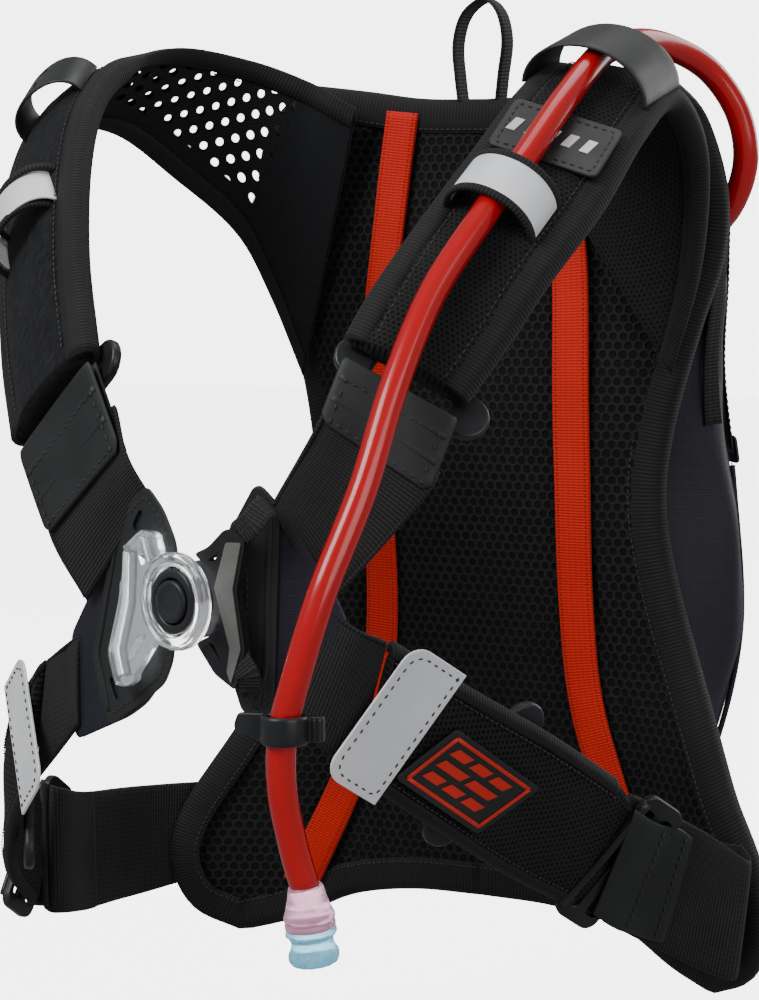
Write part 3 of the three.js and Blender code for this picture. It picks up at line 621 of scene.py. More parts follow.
def silicone(name, colour, edge):
    f = Finish(name)
    cloud = f.noise(70, 3)
    layer = f.node("ShaderNodeLayerWeight", {"Blend": 0.4}).outputs["Facing"]
    f.bump(cloud, 0.2 * MM, 0.4)
    # Painted shade and sheen: the colour turns to the edge colour where the surface turns away from the view;
    # darker on the blue valve and the water film, lighter on the pink collar.
    return f.done(Base_Color=f.blend(layer, colour, edge), Roughness=f.ramp(cloud, 0.3, 0.7, 0.22, 0.34),
                  Transmission_Weight=0.6, IOR=1.41, Subsurface_Weight=0.3,
                  Subsurface_Radius=(0.004, 0.004, 0.005), Subsurface_Scale=0.6)


def perforated(name, dark, light, start, end):
    """Knit lining with slanting rows of open holes between two distances along the strap; the knit's small
    mesh holes are darkened as painted shade.
    """
    f = Finish(name)
    x, y, _ = f.split()
    slant = f.node("ShaderNodeCombineXYZ", {
        "X": f.math("ADD", x, f.math("MULTIPLY", y, 0.25)),
        "Y": f.math("SUBTRACT", y, f.math("MULTIPLY", x, 0.3)),
    }).outputs[0]
    away = hole_lattice(f, slant, 9.0 * MM, 1.5)
    hole = f.ramp(away, 0.2, 0.245, 1.0, 0.0)
    zone = f.math("MULTIPLY", f.ramp(y, start, start + 1 * MM), f.ramp(y, end - 1 * MM, end, 1.0, 0.0))
    border = f.math("MULTIPLY", f.ramp(x, 13 * MM, 14 * MM), f.ramp(x, 62 * MM, 63 * MM, 1.0, 0.0))
    hole = f.math("MULTIPLY", hole, f.math("MULTIPLY", zone, border))
    heather = f.noise(420, 4, 0.7)
    mesh_hole = f.ramp(hole_lattice(f, f.uv, 1.5 * MM), 0.15, 0.35)
    # Painted shade: the colour darkens in the knit's small mesh holes.
    colour = f.blend(f.math("MULTIPLY", heather, mesh_hole), dark, light)
    f.bump(mesh_hole, 0.3 * MM, 0.8)
    f.bump(f.math("SUBTRACT", 1.0, hole), 0.6 * MM)
    return f.done(Base_Color=colour, Roughness=0.9, Sheen_Weight=0.03, Specular_IOR_Level=0.2,
                  Alpha=f.math("SUBTRACT", 1.0, hole))


BLACK_THREAD = coated("black_thread", (0.012, 0.012, 0.013), (0.03, 0.03, 0.032), 0.6, 1500)
PANEL_MESH = spacer_mesh("panel_spacer_mesh", 4.3 * MM)
PAD_MESH = spacer_mesh("pad_mesh", 2.2 * MM, (0.009, 0.0095, 0.0105), open_share=0.2, depth=0.5)
FLAP_MESH = spacer_mesh("flap_loop_mesh", 2.4 * MM, (0.012, 0.012, 0.0135), open_share=0.22, depth=0.7)
BINDING = ribbed("binding_knit", (0.004, 0.004, 0.0045), (0.022, 0.022, 0.024), 1.5 * MM, 5 * MM, 0.2 * MM)
KNIT = knit("strap_knit", (0.004, 0.0045, 0.006), (0.018, 0.019, 0.023))
ELASTIC = ribbed("black_elastic", (0.005, 0.005, 0.0055), (0.036, 0.036, 0.038), 1.25 * MM, 2.1 * MM)
BLACK_WEB = ribbed("black_webbing", (0.004, 0.004, 0.0045), (0.03, 0.03, 0.032), 1.5 * MM, 3 * MM)
RED_WEB = ribbed("red_webbing", (0.42, 0.008, 0.004), (0.78, 0.024, 0.01), 1.2 * MM, 2.4 * MM, 0.22 * MM,
                 edge_dots=(0.2, 0.008, 0.004), width=15 * MM)
HYPALON = coated("coated_fabric", (0.014, 0.015, 0.0158), (0.022, 0.0235, 0.0245), 0.56)
RUBBER = coated("soft_rubber", (0.014, 0.015, 0.0155), (0.026, 0.027, 0.028), 0.42, 500)
PLASTIC = coated("moulded_plastic", (0.012, 0.0125, 0.014), (0.024, 0.025, 0.028), 0.34, 1300, 0.03 * MM)
# Mid-grey colours that stand in for the light reflected off the grip's glossy black face: a painted
# reflection, not a grey part.
GRIP_REFLECTION_PAINT = coated("grip_painted_reflection", (0.1, 0.101, 0.096), (0.19, 0.19, 0.178), 0.6, 520, 0.2 * MM)
NAVY = nylon("navy_nylon", (0.0075, 0.0075, 0.0145), (0.013, 0.0125, 0.022))
SILVER = reflective("reflective_film")
CLEAR = clear_moulding("clear_plastic")
HOSE_RED = hose_finish("red_hose")
PINK = silicone("pink_silicone", (0.8, 0.42, 0.56), (0.7, 0.5, 0.72))
BLUE = silicone("blue_silicone", (0.36, 0.76, 0.9), (0.3, 0.6, 0.8))
RED_PRINT = coated("red_print", (0.55, 0.02, 0.012), (0.7, 0.035, 0.02), 0.5)
WHITE_PRINT = coated("white_print", (0.55, 0.55, 0.55), (0.7, 0.7, 0.7), 0.5)
WATER_FILM = silicone("bladder_film", (0.6, 0.75, 0.85), (0.4, 0.55, 0.7))
STEEL = reflective("spring_steel")


# ---------------------------------------------------------------- attaching pieces and hiding their CAD nodes
def fill_slot(nodes):
    if nodes:
        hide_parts(*nodes)


def keep(piece, body, slot, *nodes):
    """Attaches a piece to its body and hides the CAD nodes it stands for; its material slot is not used."""
    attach(piece, body)
    fill_slot(nodes)


def bend(piece, body, slot, start, end, *nodes):
    """For cloth that crosses from the pack to a harness side: bakes its transform and hides the CAD nodes it
    stands for, without attaching it to a body.
    """
    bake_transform(piece)
    fill_slot(nodes)


# ---------------------------------------------------------------- camera
CAMERA_TURN = math.radians(28)
CAMERA_RISE = math.radians(5)
CAMERA_AWAY = 1.05
CAMERA_LENS = 95.4
CAMERA_TARGET = Vector((0, -0.095, 0))


def make_camera():
    data = bpy.data.cameras.new("camera")
    data.lens = CAMERA_LENS
    camera = bpy.data.objects.new("camera", data)
    bpy.context.scene.collection.objects.link(camera)
    back = Vector((
        math.sin(CAMERA_TURN) * math.cos(CAMERA_RISE),
        -math.cos(CAMERA_TURN) * math.cos(CAMERA_RISE),
        math.sin(CAMERA_RISE),
    ))
    camera.location = CAMERA_TARGET + back * CAMERA_AWAY
    camera.rotation_euler = (-back).to_track_quat("-Z", "Y").to_euler()
    bpy.context.scene.camera = camera


make_camera()


# ---------------------------------------------------------------- hose and bite valve
HOSE_R = 5.2 * MM
HOSE_PATH = [at(*p) for p in [
    (26, 63, -83), (27, 63, -74), (36, 64, -50), (52, 66, -18), (61, 60, 14), (65, 53, 44), (70, 45, 68),
    (77, 35, 88), (89, 25, 103), (104, 19, 118), (111, 15, 136), (109, 10, 155), (101, -1, 171),
    (92, -19, 179), (87, -44, 180), (85, -74, 173), (84, -104, 155.5), (80, -132, 132), (74, -157, 109),
    (67, -182, 82), (64, -205, 50), (62, -224, 16), (55, -239, -17), (48, -245, -46), (43, -246, -66),
    (42, -245, -86), (44, -241, -106), (47, -238, -121),
]]
VALVE_TOP = at(47.2, -237.8, -121.8)
VALVE_DOWN = Vector((0.075, 0.11, -1)).normalized()
COLLAR_LENGTH = 13.8 * MM


def turned(name, profile, material, origin, axis, ring=False, ribs=0, rib_depth=0.0):
    """A turned form from a profile of (radius, distance along axis), millimetres. A ring's profile closes."""
    spin = Vector((0, 0, 1)).rotation_difference(axis).to_matrix()
    segments = 64 if ring else 48
    points, uvs = [], []
    for r, h in profile:
        for k in range(segments):
            a = 2 * math.pi * k / segments
            radius = r + rib_depth * math.cos(ribs * a)
            points.append(origin + spin @ Vector((radius * math.cos(a), radius * math.sin(a), h)) * MM)
            uvs.append((a * r * MM, h * MM))
    rows = len(profile)
    faces = tube_faces(rows, segments, closed=True) if ring else capped_tube(rows, segments)
    return mesh_object(name, points, faces, material, uvs)


def make_hose():
    count, sides = 260, 24
    line = resample([along(HOSE_PATH, i / (count - 1)) for i in range(count)], count)
    angles = [2 * math.pi * k / sides for k in range(sides)]
    section = [(HOSE_R * math.cos(a), HOSE_R * math.sin(a)) for a in angles]
    ups, up = [], Vector((0, 1, 0))
    for i in range(count):
        tangent = heading(line, i)
        up = (up - tangent * up.dot(tangent)).normalized()
        ups.append(up)
    hose = sweep("drinking_hose", line, ups, section, HOSE_RED)
    bend(hose, "harness_left", "hose_red", at(104, 14, 140), at(90, -70, 150), "hose")
    collar = turned(
        "valve_collar",
        [(5.4, -1.5), (5.9, -1.4), (6.2, -0.8), (6.5, 0.5), (7.0, 3), (7.8, 6), (8.7, 8.2), (9.0, 9),
         (9.0, 10.2), (8.5, 10.7), (8.5, 11.4), (8.9, 11.8), (8.9, 13), (8.6, 13.5), (7, 13.5)],
        PINK, VALVE_TOP, VALVE_DOWN)
    keep(collar, "harness_left", "valve_pink", "bite_valve_collar")
    mouth = turned(
        "valve_mouthpiece",
        [(7, 0), (8.6, 0.1), (8.9, 0.6), (8.9, 1.8), (8.4, 2.4), (7.6, 3.2), (7.3, 4.4), (7.4, 5.6),
         (8.0, 7), (8.7, 8.2), (8.9, 9.4), (8.7, 10.8), (8.2, 11.9), (7.4, 12.4), (5.6, 12.4), (4.8, 11.6),
         (3, 11.2)],
        BLUE, VALVE_TOP + VALVE_DOWN * COLLAR_LENGTH, VALVE_DOWN, ribs=14, rib_depth=0.14)
    keep(mouth, "bite_valve", "valve_blue", "bite_valve_mouthpiece")


make_hose()


# ---------------------------------------------------------------- back panel
PANEL_T = 8 * MM
PANEL_FOOT, PANEL_NECK = -177 * MM, 160 * MM
SIDE_EDGE = [at(x, 0, z) for x, z in [
    (112, -202), (130, -192), (138, -171), (133, -149), (116, -119), (98, -82), (85, -42),
    (79, -6), (83, 30), (93, 66), (103, 96), (106, 124), (98, 152), (82, 168)]]
FOOT_EDGE = [at(x, 0, z) for x, z in [(0, -177), (34, -178), (66, -184), (91, -196), (112, -202)]]
NECK_EDGE = [at(x, 0, z) for x, z in [(0, 160), (30, 161), (58, 165), (82, 168)]]


def panel_face(x, z):
    """How far forward of y = 0 the panel's face stands, negative towards the wearer."""
    x, z = abs(x) / MM, z / MM
    bulge = 13 * max(0.0, 1 - (x / 88) ** 2) * math.exp(-(((z - 35) / 80) ** 2))
    lobe = 32 * clamp01((x - 62) / 78) ** 1.5 * smooth((-60 - z) / 70)
    shoulder = 9 * smooth((x - 40) / 60) * smooth((z - 90) / 60)
    return -(bulge + lobe + shoulder) * MM


def panel_place(u, v):
    """The panel's outline filled in: u from the spine (0) to a side edge (1 or -1), v from foot to neck."""
    side = abs(u)
    foot, neck, edge = along(FOOT_EDGE, side), along(NECK_EDGE, side), along(SIDE_EDGE, v)
    spine = Vector((0, 0, mix(PANEL_FOOT, PANEL_NECK, v)))
    place = foot * (1 - v) + neck * v + spine * (1 - side) + edge * side
    place -= FOOT_EDGE[0] * (1 - side) * (1 - v) + FOOT_EDGE[-1] * side * (1 - v)
    place -= NECK_EDGE[0] * (1 - side) * v + NECK_EDGE[-1] * side * v
    return Vector((place.x * (1 if u >= 0 else -1), 0, place.z))


def panel_relief(u, v):
    """Sewn channels and soft padding, in metres above the plain face."""
    side = abs(u)
    edge_dip = 1.6 * smooth((side - 0.9) / 0.1)
    channel = math.exp(-(((side - 0.50) / 0.03) ** 2)) * 0.9 * smooth((v - 0.02) / 0.1)
    height, share = (1.3, side / 0.5) if side < 0.5 else (1.6, (side - 0.5) / 0.5)
    puff = height * math.sin(math.pi * clamp01(share)) ** 0.6
    soft = 0.5 * math.sin(9 * v + 3 * u) * math.sin(7 * u + 1)
    return (puff + soft * (1 - side) - edge_dip - channel) * MM


def make_panel():
    def place(layer, across, v):
        u = 2 * across - 1
        p = panel_place(u, v)
        y = panel_face(p.x, p.z) + (PANEL_T if layer else -panel_relief(u, v))
        return Vector((p.x, y, p.z)), (p.x, p.z)

    panel = closed_sheet("spacer_mesh_panel", 90, 130, place, PANEL_MESH)
    keep(panel, "pack", "spacer_mesh", "back_panel")


def panel_border():
    """The panel's outline, once round. The foot and the neck each take a fifth of the steps."""
    steps, end = 130, 0.2
    half = []
    for k in range(steps + 1):
        q = k / steps
        if q < end:
            half.append(along(FOOT_EDGE, q / end))
        elif q < 1 - end:
            half.append(along(SIDE_EDGE, (q - end) / (1 - 2 * end)))
        else:
            half.append(along(NECK_EDGE, 1 - (q - 1 + end) / end))
    border = half + [Vector((-p.x, 0, p.z)) for p in half[-2:0:-1]]
    return resample(border, 320, closed=True)


def make_binding():
    """A knit tape folded over the panel's edge: 12 mm on the face, round the rim and 6 mm on the back."""
    border = panel_border()
    count = len(border)
    section = [(-12, -1.4), (-11.6, -2.0), (-8, -2.5), (-3, -2.6), (0.4, -2.0), (2.4, 0.4), (2.9, 3),
               (2.9, 6.5), (1.6, 8.8), (-2, 9.6), (-5.6, 9.4), (-6, 8.8), (0, 8.2), (0.9, 4.0), (0, -0.2),
               (-6, -0.9)]
    points, uvs, line, run = [], [], [], 0.0

    def rim_point(p, out, away, deep):
        """A point off the outline p: away from the panel and deep behind its face, millimetres."""
        q = p + out * away * MM
        return Vector((q.x, (panel_face(q.x, q.z) + panel_face(p.x, p.z)) / 2 + deep * MM, q.z))

    for i, p in enumerate(border):
        tangent = (border[(i + 1) % count] - border[i - 1]).normalized()
        out = Vector((tangent.z, 0, -tangent.x))
        run += (p - border[i - 1]).length if i else 0
        pucker = 0.16 * math.sin(run / (5.2 * MM) * math.pi)
        for j, (away, deep) in enumerate(section):
            points.append(rim_point(p, out, away, deep - (pucker if deep < 0 else 0)))
            uvs.append((j * 1.8 * MM, run))
        line.append(rim_point(p, out, -10.2, -2.5))
    faces = tube_faces(count, len(section), closed=True)
    keep(mesh_object("panel_binding", points, faces, BINDING, uvs), "pack", "binding", "edge_binding")
    towards_wearer = [Vector((0, -1, 0))] * (count + 1)
    keep(stitches("binding_stitches", line + line[:1], towards_wearer, 2.6, 1.9, 0.3), "pack", "binding")


RED_LINE = [(37, 158), (41, 120), (45, 70), (46, 10), (46, -50), (50, -90), (62, -128), (78, -164),
            (86, -182)]


def make_red_webbing(side):
    name = "left" if side > 0 else "right"
    centre = [at(side * x, 0, z) for x, z in RED_LINE]
    steps, half = 90, 7.5 * MM
    points, uvs, run = [], [], 0.0
    shares = [-1, -0.93, -0.5, 0, 0.5, 0.93, 1]
    tops = [0.35, 0.8, 0.9, 0.9, 0.9, 0.8, 0.35]
    for i in range(steps + 1):
        p = along(centre, i / steps)
        tangent = (along(centre, i / steps + 0.01) - along(centre, i / steps - 0.01)).normalized()
        run += (p - along(centre, (i - 1) / steps)).length if i else 0
        across = Vector((tangent.z, 0, -tangent.x))
        sag = 0.35 * math.sin(run / (38 * MM)) + 0.2 * math.sin(run / (13 * MM))
        for share, top in zip(shares, tops):
            q = p + across * share * half
            y = panel_face(q.x, q.z) - (3.4 + sag + top) * MM
            points.append(Vector((q.x, y, q.z)))
            uvs.append(((share + 1) * half, run))
        for share in shares[::-1]:
            q = p + across * share * half
            points.append(Vector((q.x, panel_face(q.x, q.z) - (2.4 + sag) * MM, q.z)))
            uvs.append(((share + 1) * half, run))
    web = mesh_object(f"{name}_red_web", points, capped_tube(steps + 1, 2 * len(shares)), RED_WEB, uvs)
    keep(web, "pack", "red_webbing", f"{name}_red_webbing")


def make_hang_loop():
    """Webbing doubled into a loop, sewn in at the neck."""
    path = [at(-11, 3, 158), at(-12.5, 2, 172), at(-13, 1, 186), at(-9, 0.5, 198), at(0, 0.5, 204),
            at(7, 0.5, 199), at(9.5, 1.5, 187), at(7, 3, 172), at(5, 4, 158)]
    line = resample([along(path, i / 80) for i in range(81)], 70)
    ups = [Vector((0, 1, 0))] * len(line)
    section = [(-0.75 * MM, -5.5 * MM), (0.75 * MM, -5.5 * MM), (0.95 * MM, -2.5 * MM),
               (0.95 * MM, 2.5 * MM), (0.75 * MM, 5.5 * MM), (-0.75 * MM, 5.5 * MM), (-0.6 * MM, 2.5 * MM),
               (-0.6 * MM, -2.5 * MM)]
    loop = sweep("hang_loop_web", line, ups, section, BLACK_WEB)
    keep(subdivide(loop), "pack", "elastic", "hang_loop")


make_panel()
make_binding()
for pack_side in (1, -1):
    make_red_webbing(pack_side)
make_hang_loop()


# ---------------------------------------------------------------- water bag
BAG_SEAM = 1.2 * MM
BAG_FLAT = 68 * MM
BAG_CLOTH = 1.6 * MM
BAG_TALL = 308 * MM
BAG_RIM = [at(x, 0, z) for x, z in [
    (60, -156), (76, -140), (84, -110), (82, -60), (73, 0), (82, 50), (95, 95), (97, 125), (86, 146),
    (70, 152)]]
BAG_GIRTH = [at(x, 0, z) for x, z in [
    (62, -156), (82, -140), (94, -110), (102, -60), (98, 0), (94, 50), (100, 95), (102, 125), (88, 146),
    (70, 152)]]
BAG_DEPTH = [at(x, 0, z) for x, z in [
    (2.4, -156), (38, -140), (59, -110), (71, -60), (70, 0), (61, 50), (44, 95), (31, 125), (14, 146),
    (2.4, 152)]]


def bag_point(angle, v, inset=0.0, relief=0.0):
    height = along(BAG_DEPTH, v)
    sine, cosine = max(0.0, math.sin(angle)), math.cos(angle)
    reach = min((height.x - inset) * sine ** 0.55, BAG_FLAT - inset) + relief * sine
    width = mix(along(BAG_RIM, v).x, along(BAG_GIRTH, v).x, smooth(reach / (34 * MM)))
    x = (width - inset + relief) * math.copysign(abs(cosine) ** 0.55, cosine)
    rim = panel_face(x, height.z) * (1 - smooth(reach / (20 * MM)))
    return Vector((x, PANEL_T + BAG_SEAM + rim + reach, height.z))


def bag_wrinkle(angle, v):
    """Soft folds: long ones gathered from the side seams, shallow ones over the back."""
    side = abs(math.cos(angle))
    folds = math.sin(26 * v + 5 * math.sin(3 * angle) + 7 * side) * side ** 1.5
    gather = math.sin(61 * v + 9 * math.cos(2 * angle)) * math.exp(-((math.sin(angle) - 0.25) / 0.3) ** 2)
    broad = math.sin(7 * v + 4 * angle) * math.sin(5 * angle + 2)
    creases = abs(math.sin(9 * v + 2.4 * math.sin(2 * angle))) ** 0.5 - 0.7
    fade = min(1.0, 6 * v, 6 * (1 - v))
    return (1.1 * folds + 0.45 * gather + 1.0 * broad + 0.9 * creases * side) * MM * fade


def make_bag():
    def place(layer, across, v):
        angle = math.pi * across
        point = bag_point(angle, v, BAG_CLOTH if layer else 0.0, bag_wrinkle(angle, v) - 0.4 * MM)
        return point, (angle * 90 * MM, v * BAG_TALL)

    keep(closed_sheet("bag_body", 150, 150, place, NAVY), "pack", "navy_nylon", "bag_shell")


def bag_frame(angle, v):
    step = 0.004
    point = bag_point(angle, v)
    around = bag_point(angle + step, v) - bag_point(angle - step, v)
    rise = bag_point(angle, v + step) - bag_point(angle, v - step)
    out = around.cross(rise).normalized()
    if out.dot(point - Vector((0, 20 * MM, point.z * 0.8))) < 0:
        out = -out
    return point, out


ZIP_LOW, ZIP_HIGH, ZIP_SIDE, ZIP_STRAIGHT = 0.47, 0.84, math.radians(36), 0.42


def zip_track(u):
    turn = clamp01((abs(u) - ZIP_STRAIGHT) / 0.2)
    sweep_share = smooth(min(1.0, abs(u) / (ZIP_STRAIGHT + 0.2)))
    turned = math.pi / 2 - (math.pi / 2 - ZIP_SIDE) * sweep_share
    angle = turned if u > 0 else math.pi - turned
    fall = clamp01((abs(u) - ZIP_STRAIGHT) / (1 - ZIP_STRAIGHT))
    return angle, mix(ZIP_HIGH, ZIP_LOW, fall * (0.4 + 0.6 * turn))


def zip_spot(u, across, lift):
    """A point on the zip, across it over the bag's surface and lifted off it, and the way out."""
    step = 0.004
    angle, v = zip_track(u)
    later, earlier = zip_track(min(1, u + step)), zip_track(max(-1, u - step))
    by_angle = (bag_point(angle + step, v) - bag_point(angle - step, v)) / (2 * step)
    by_height = (bag_point(angle, v + step) - bag_point(angle, v - step)) / (2 * step)
    run = by_angle * (later[0] - earlier[0]) + by_height * (later[1] - earlier[1])
    turn, rise = by_height.dot(run), -by_angle.dot(run)
    reach = (by_angle * turn + by_height * rise).length
    point, out = bag_frame(angle + turn / reach * across, v + rise / reach * across)
    return point + out * lift, out


def zip_line(lift, count=160, across=0.0):
    spots = [zip_spot(-1 + 2 * i / (count - 1), across, lift) for i in range(count)]
    return [point for point, _ in spots], [out for _, out in spots]


def make_zip():
    section = [(-9, 1.3), (-9, 1.9), (-5.6, 2.0), (-2.2, 2.15), (-1.6, 2.6), (1.6, 2.6), (2.2, 2.15),
               (5.6, 2.0), (9, 1.9), (9, 1.3), (4, 1.2), (-4, 1.2)]
    vertices, uvs, rings = [], [], 160
    for i in range(rings):
        for across, lift in section:
            vertices.append(zip_spot(-1 + 2 * i / (rings - 1), across * MM, lift * MM)[0])
            uvs.append((across * MM, i * 3 * MM))
    tape = mesh_object("zip_tape_cloth", vertices, capped_tube(rings, len(section)), RUBBER, uvs)
    keep(tape, "pack", "rubber_black", "zip_tape")
    points, ups = zip_line(2.9 * MM, 400)
    points, ups = resample(points, 330), resample(ups, 330)
    vertices, faces = [], []
    for i, (here, following) in enumerate(zip(points, points[1:])):
        tangent = (following - here).normalized()
        side = tangent.cross(ups[i]).normalized()
        lean = 0.35 if i % 2 else -0.35
        add_strand(vertices, faces, [
            (here + side * (reach + lean) * MM, tangent, ups[i].normalized(), radius * MM)
            for reach, radius in ((-2.3, 0.35), (-1.2, 0.5), (1.2, 0.5), (2.3, 0.35))])
    coil = mesh_object("zip_coil_teeth", vertices, faces, PLASTIC)
    keep(coil, "pack", "rubber_black", "zip_coil")
    for sign, edge in ((1, "outer"), (-1, "inner")):
        row, outs = zip_line(2.1 * MM, across=sign * 7.4 * MM)
        keep(stitches(f"zip_{edge}_stitches", row, outs, 2.8, 2, 0.3), "pack", "rubber_black")
    for end in (-1, 1):
        point, out = zip_spot(end * 0.995, 0, 2.2 * MM)
        above = zip_spot(end * 0.96, 0, 2.2 * MM)[0]
        stop = plate(f"zip_garage_{'left' if end > 0 else 'right'}", rounded_rectangle(20, 12, 2.5, 4),
                     1.4 * MM, RUBBER, point, out, above - point, edge=0.5 * MM)
        keep(stop, "pack", "rubber_black")


def bag_seam(name, spots, radius=1.3 * MM):
    """Piping along a line of (angle, height) spots on the bag, with a row of stitches beside it."""
    frames = [bag_frame(angle, v) for angle, v in spots]
    line = [point + out * 0.5 * MM for point, out in frames]
    outs = [out for _, out in frames]
    keep(sweep(name + "_piping", line, outs, round_section(2 * radius, 2 * radius, 2, 10), NAVY), "pack",
         "navy_nylon")
    beside = []
    for i, point in enumerate(line):
        beside.append(point + heading(line, i).cross(outs[i]).normalized() * 3.4 * MM - outs[i] * 0.2 * MM)
    keep(stitches(name + "_stitches", beside, outs, 3.2, 2.1, 0.32), "pack", "navy_nylon")


def make_bag_seams():
    for side in (-1, 1):
        label = "left" if side > 0 else "right"
        angle = math.radians(22 if side > 0 else 158)
        bag_seam(f"bag_{label}_side", [(angle, 0.06 + 0.4 * i / 60) for i in range(61)])
        pocket = math.radians(9 if side > 0 else 171)
        spots = [bag_frame(pocket, 0.5 + 0.26 * i / 40) for i in range(41)]
        keep(sweep(f"bag_{label}_pocket_welt", [p + out * 0.9 * MM for p, out in spots],
                   [out for _, out in spots], round_section(9 * MM, 1.6 * MM, 5, 14), BLACK_WEB), "pack",
             "navy_nylon")
    low, high = math.radians(24), math.radians(156)
    shares = [i / 90 for i in range(91)]
    bag_seam("bag_lower", [(mix(low, high, q), 0.33 + 0.03 * math.sin(math.pi * q)) for q in shares],
             0.9 * MM)


make_bag()
make_zip()
make_bag_seams()


# ---------------------------------------------------------------- harness edges
# Millimetres. Each strap has two edges, the one nearer the chest's middle first, from the pack outwards.
RIGHT = {
    "pad": [
        [(-54, -15, 158), (-62, -19, 163), (-75, -22, 170), (-93, -37, 178), (-108, -70, 182),
         (-111, -103, 174), (-108, -130, 159), (-98, -156, 134), (-82, -182, 98), (-61, -206.5, 61)],
        [(-84, -8, 46), (-98, -11, 80), (-110, -20, 108), (-127, -42, 131), (-143, -68, 150),
         (-157, -98, 148), (-152, -127, 121), (-138, -151, 88), (-122, -172, 54), (-102.5, -193, 25)],
    ],
    "tab": [[(-59, -207.5, 58), (-50, -211, 42), (-41, -214.6, 26.5)],
            [(-100, -195, 21), (-91, -199, 6), (-82, -202.8, -8.5)]],
    "upper": [[(-50, -210, 42), (-40, -215, 24.6), (-30, -216.5, 9)],
              [(-92, -197, 8), (-81, -203.3, -10.2), (-66, -205, -32)]],
    "lower": [[(-74, -197, -46), (-83, -193, -51), (-94, -189, -58)],
              [(-74, -198, -80), (-82, -195, -88), (-100, -189, -105)]],
    "flap": [
        [(-96, -188, -60), (-121, -171, -82), (-140, -148, -104), (-146, -122, -122)],
        [(-104, -187, -108), (-126, -169, -132), (-143, -146, -156), (-149, -120, -177)],
    ],
    "tail": [
        [(-148, -116, -123), (-149, -108, -126), (-153, -80, -134), (-147, -46, -137), (-126, -14, -138)],
        [(-149, -114, -178), (-149, -108, -181), (-152, -80, -186), (-148, -44, -186), (-129, -15, -181)],
    ],
}
LEFT = {
    "pad": [
        [(24, -14, 150), (33, -20, 156), (43, -30, 163), (53, -52, 168), (57, -88, 157), (54, -120, 134),
         (46, -150, 106), (40, -175, 82), (37, -189, 66)],
        [(88, -8, 50), (101, -12, 92), (110, -30, 134), (108, -54, 156), (107, -86, 141), (103, -115, 114),
         (94, -145, 86), (84, -164, 60), (77, -177, 44)],
    ],
    "tab": [[(37, -192, 60), (33, -203, 38)], [(77, -180, 38), (69, -188, 12)]],
    "upper": [[(35, -200, 46), (33, -205, 36), (22, -218, 8)],
              [(72, -184, 20), (68, -190, 10), (40, -209, -28)]],
    "lower": [[(40, -210, -26), (50, -208, -34), (58, -198, -40)],
              [(24, -215, -66), (34, -212, -74), (44, -198, -88)]],
    "flap": [
        [(59, -197, -41), (76, -165, -62), (92, -128, -84), (106, -82, -112)],
        [(45, -196, -89), (58, -162, -112), (70, -124, -136), (86, -80, -160)],
    ],
    "tail": [
        [(104, -84, -110), (110, -76, -116), (125, -58, -128), (139, -48, -140), (131, -35, -137)],
        [(84, -82, -158), (90, -75, -164), (112, -57, -180), (131, -46, -189), (126, -33, -188)],
    ],
}


def faced_out(edges, side):
    """Orders each strap's edges so that its outer face turns away from the wearer."""
    forward = ("pad", "tab", "upper")
    return {key: (pair if (key in forward) == (side > 0) else pair[::-1]) for key, pair in edges.items()}


SIDES = {"left": faced_out(LEFT, 1), "right": faced_out(RIGHT, -1)}
BODY = {"left": "harness_left", "right": "harness_right"}


def spot_on(edges, u, lift=0.0, shift=0.0, slide=0.0, s=0.5):
    """A place on a strap, in millimetres off it: the point, the way along, across and out."""
    a_line, b_line = in_metres(edges)
    a, b, out = strap_frame(a_line, b_line, u)
    ahead = along(a_line, min(1, u + 0.01)).lerp(along(b_line, min(1, u + 0.01)), s)
    behind = along(a_line, max(0, u - 0.01)).lerp(along(b_line, max(0, u - 0.01)), s)
    onward = (ahead - behind).normalized()
    across = (b - a).normalized()
    out = onward.cross(across).normalized()
    point = a.lerp(b, s) + (out * lift + onward * shift + across * slide) * MM
    return point, onward, across, out


def edge_tape(name, edges, s, width, half, material, span=(0.0, 1.0), crown=0.0, steps=90, pucker=0.25):
    """A tape folded over one edge of a strap, half is half the strap's thickness there (metres)."""
    a_line, b_line = in_metres(edges)
    points, uvs, run, last = [], [], 0.0, None
    for i in range(steps + 1):
        u = mix(*span, i / steps)
        a, b, out = strap_frame(a_line, b_line, u)
        start = a if s == 0 else b
        inward = (b - a).normalized() * (1 if s == 0 else -1)
        run += (start - last).length if last else 0.0
        last = start
        deep = value_at(half, u)
        full = (b - a).length
        rise = crown * (1 - (2 * (width / full) - 1) ** 2)
        ripple = pucker * MM * math.sin(run / (3.1 * MM))
        section = [
            (width, deep + rise + 0.2 * MM), (width - 0.3 * MM, deep + rise + 1.3 * MM),
            (width * 0.66, deep + rise * 0.8 + 1.5 * MM + ripple),
            (width * 0.3, deep + rise * 0.4 + 1.4 * MM), (0.3 * MM, deep * 0.9 + 1.0 * MM),
            (-1.3 * MM, deep * 0.5), (-1.7 * MM, 0), (-1.3 * MM, -deep * 0.5),
            (0.3 * MM, -deep * 0.9 - 0.9 * MM), (width * 0.4, -deep - 1.2 * MM),
            (width * 0.8, -deep - 1.0 * MM), (width * 0.8, -deep - 0.1 * MM), (width * 0.5, 0),
            (width * 0.7, deep * 0.5),
        ]
        girth = 0.0
        for j, (reach, height) in enumerate(section):
            points.append(start + inward * reach + out * height)
            uvs.append((girth, run))
            following = section[(j + 1) % len(section)]
            girth += math.hypot(following[0] - reach, following[1] - height)
    return mesh_object(name, points, capped_tube(steps + 1, len(section)), material, uvs)


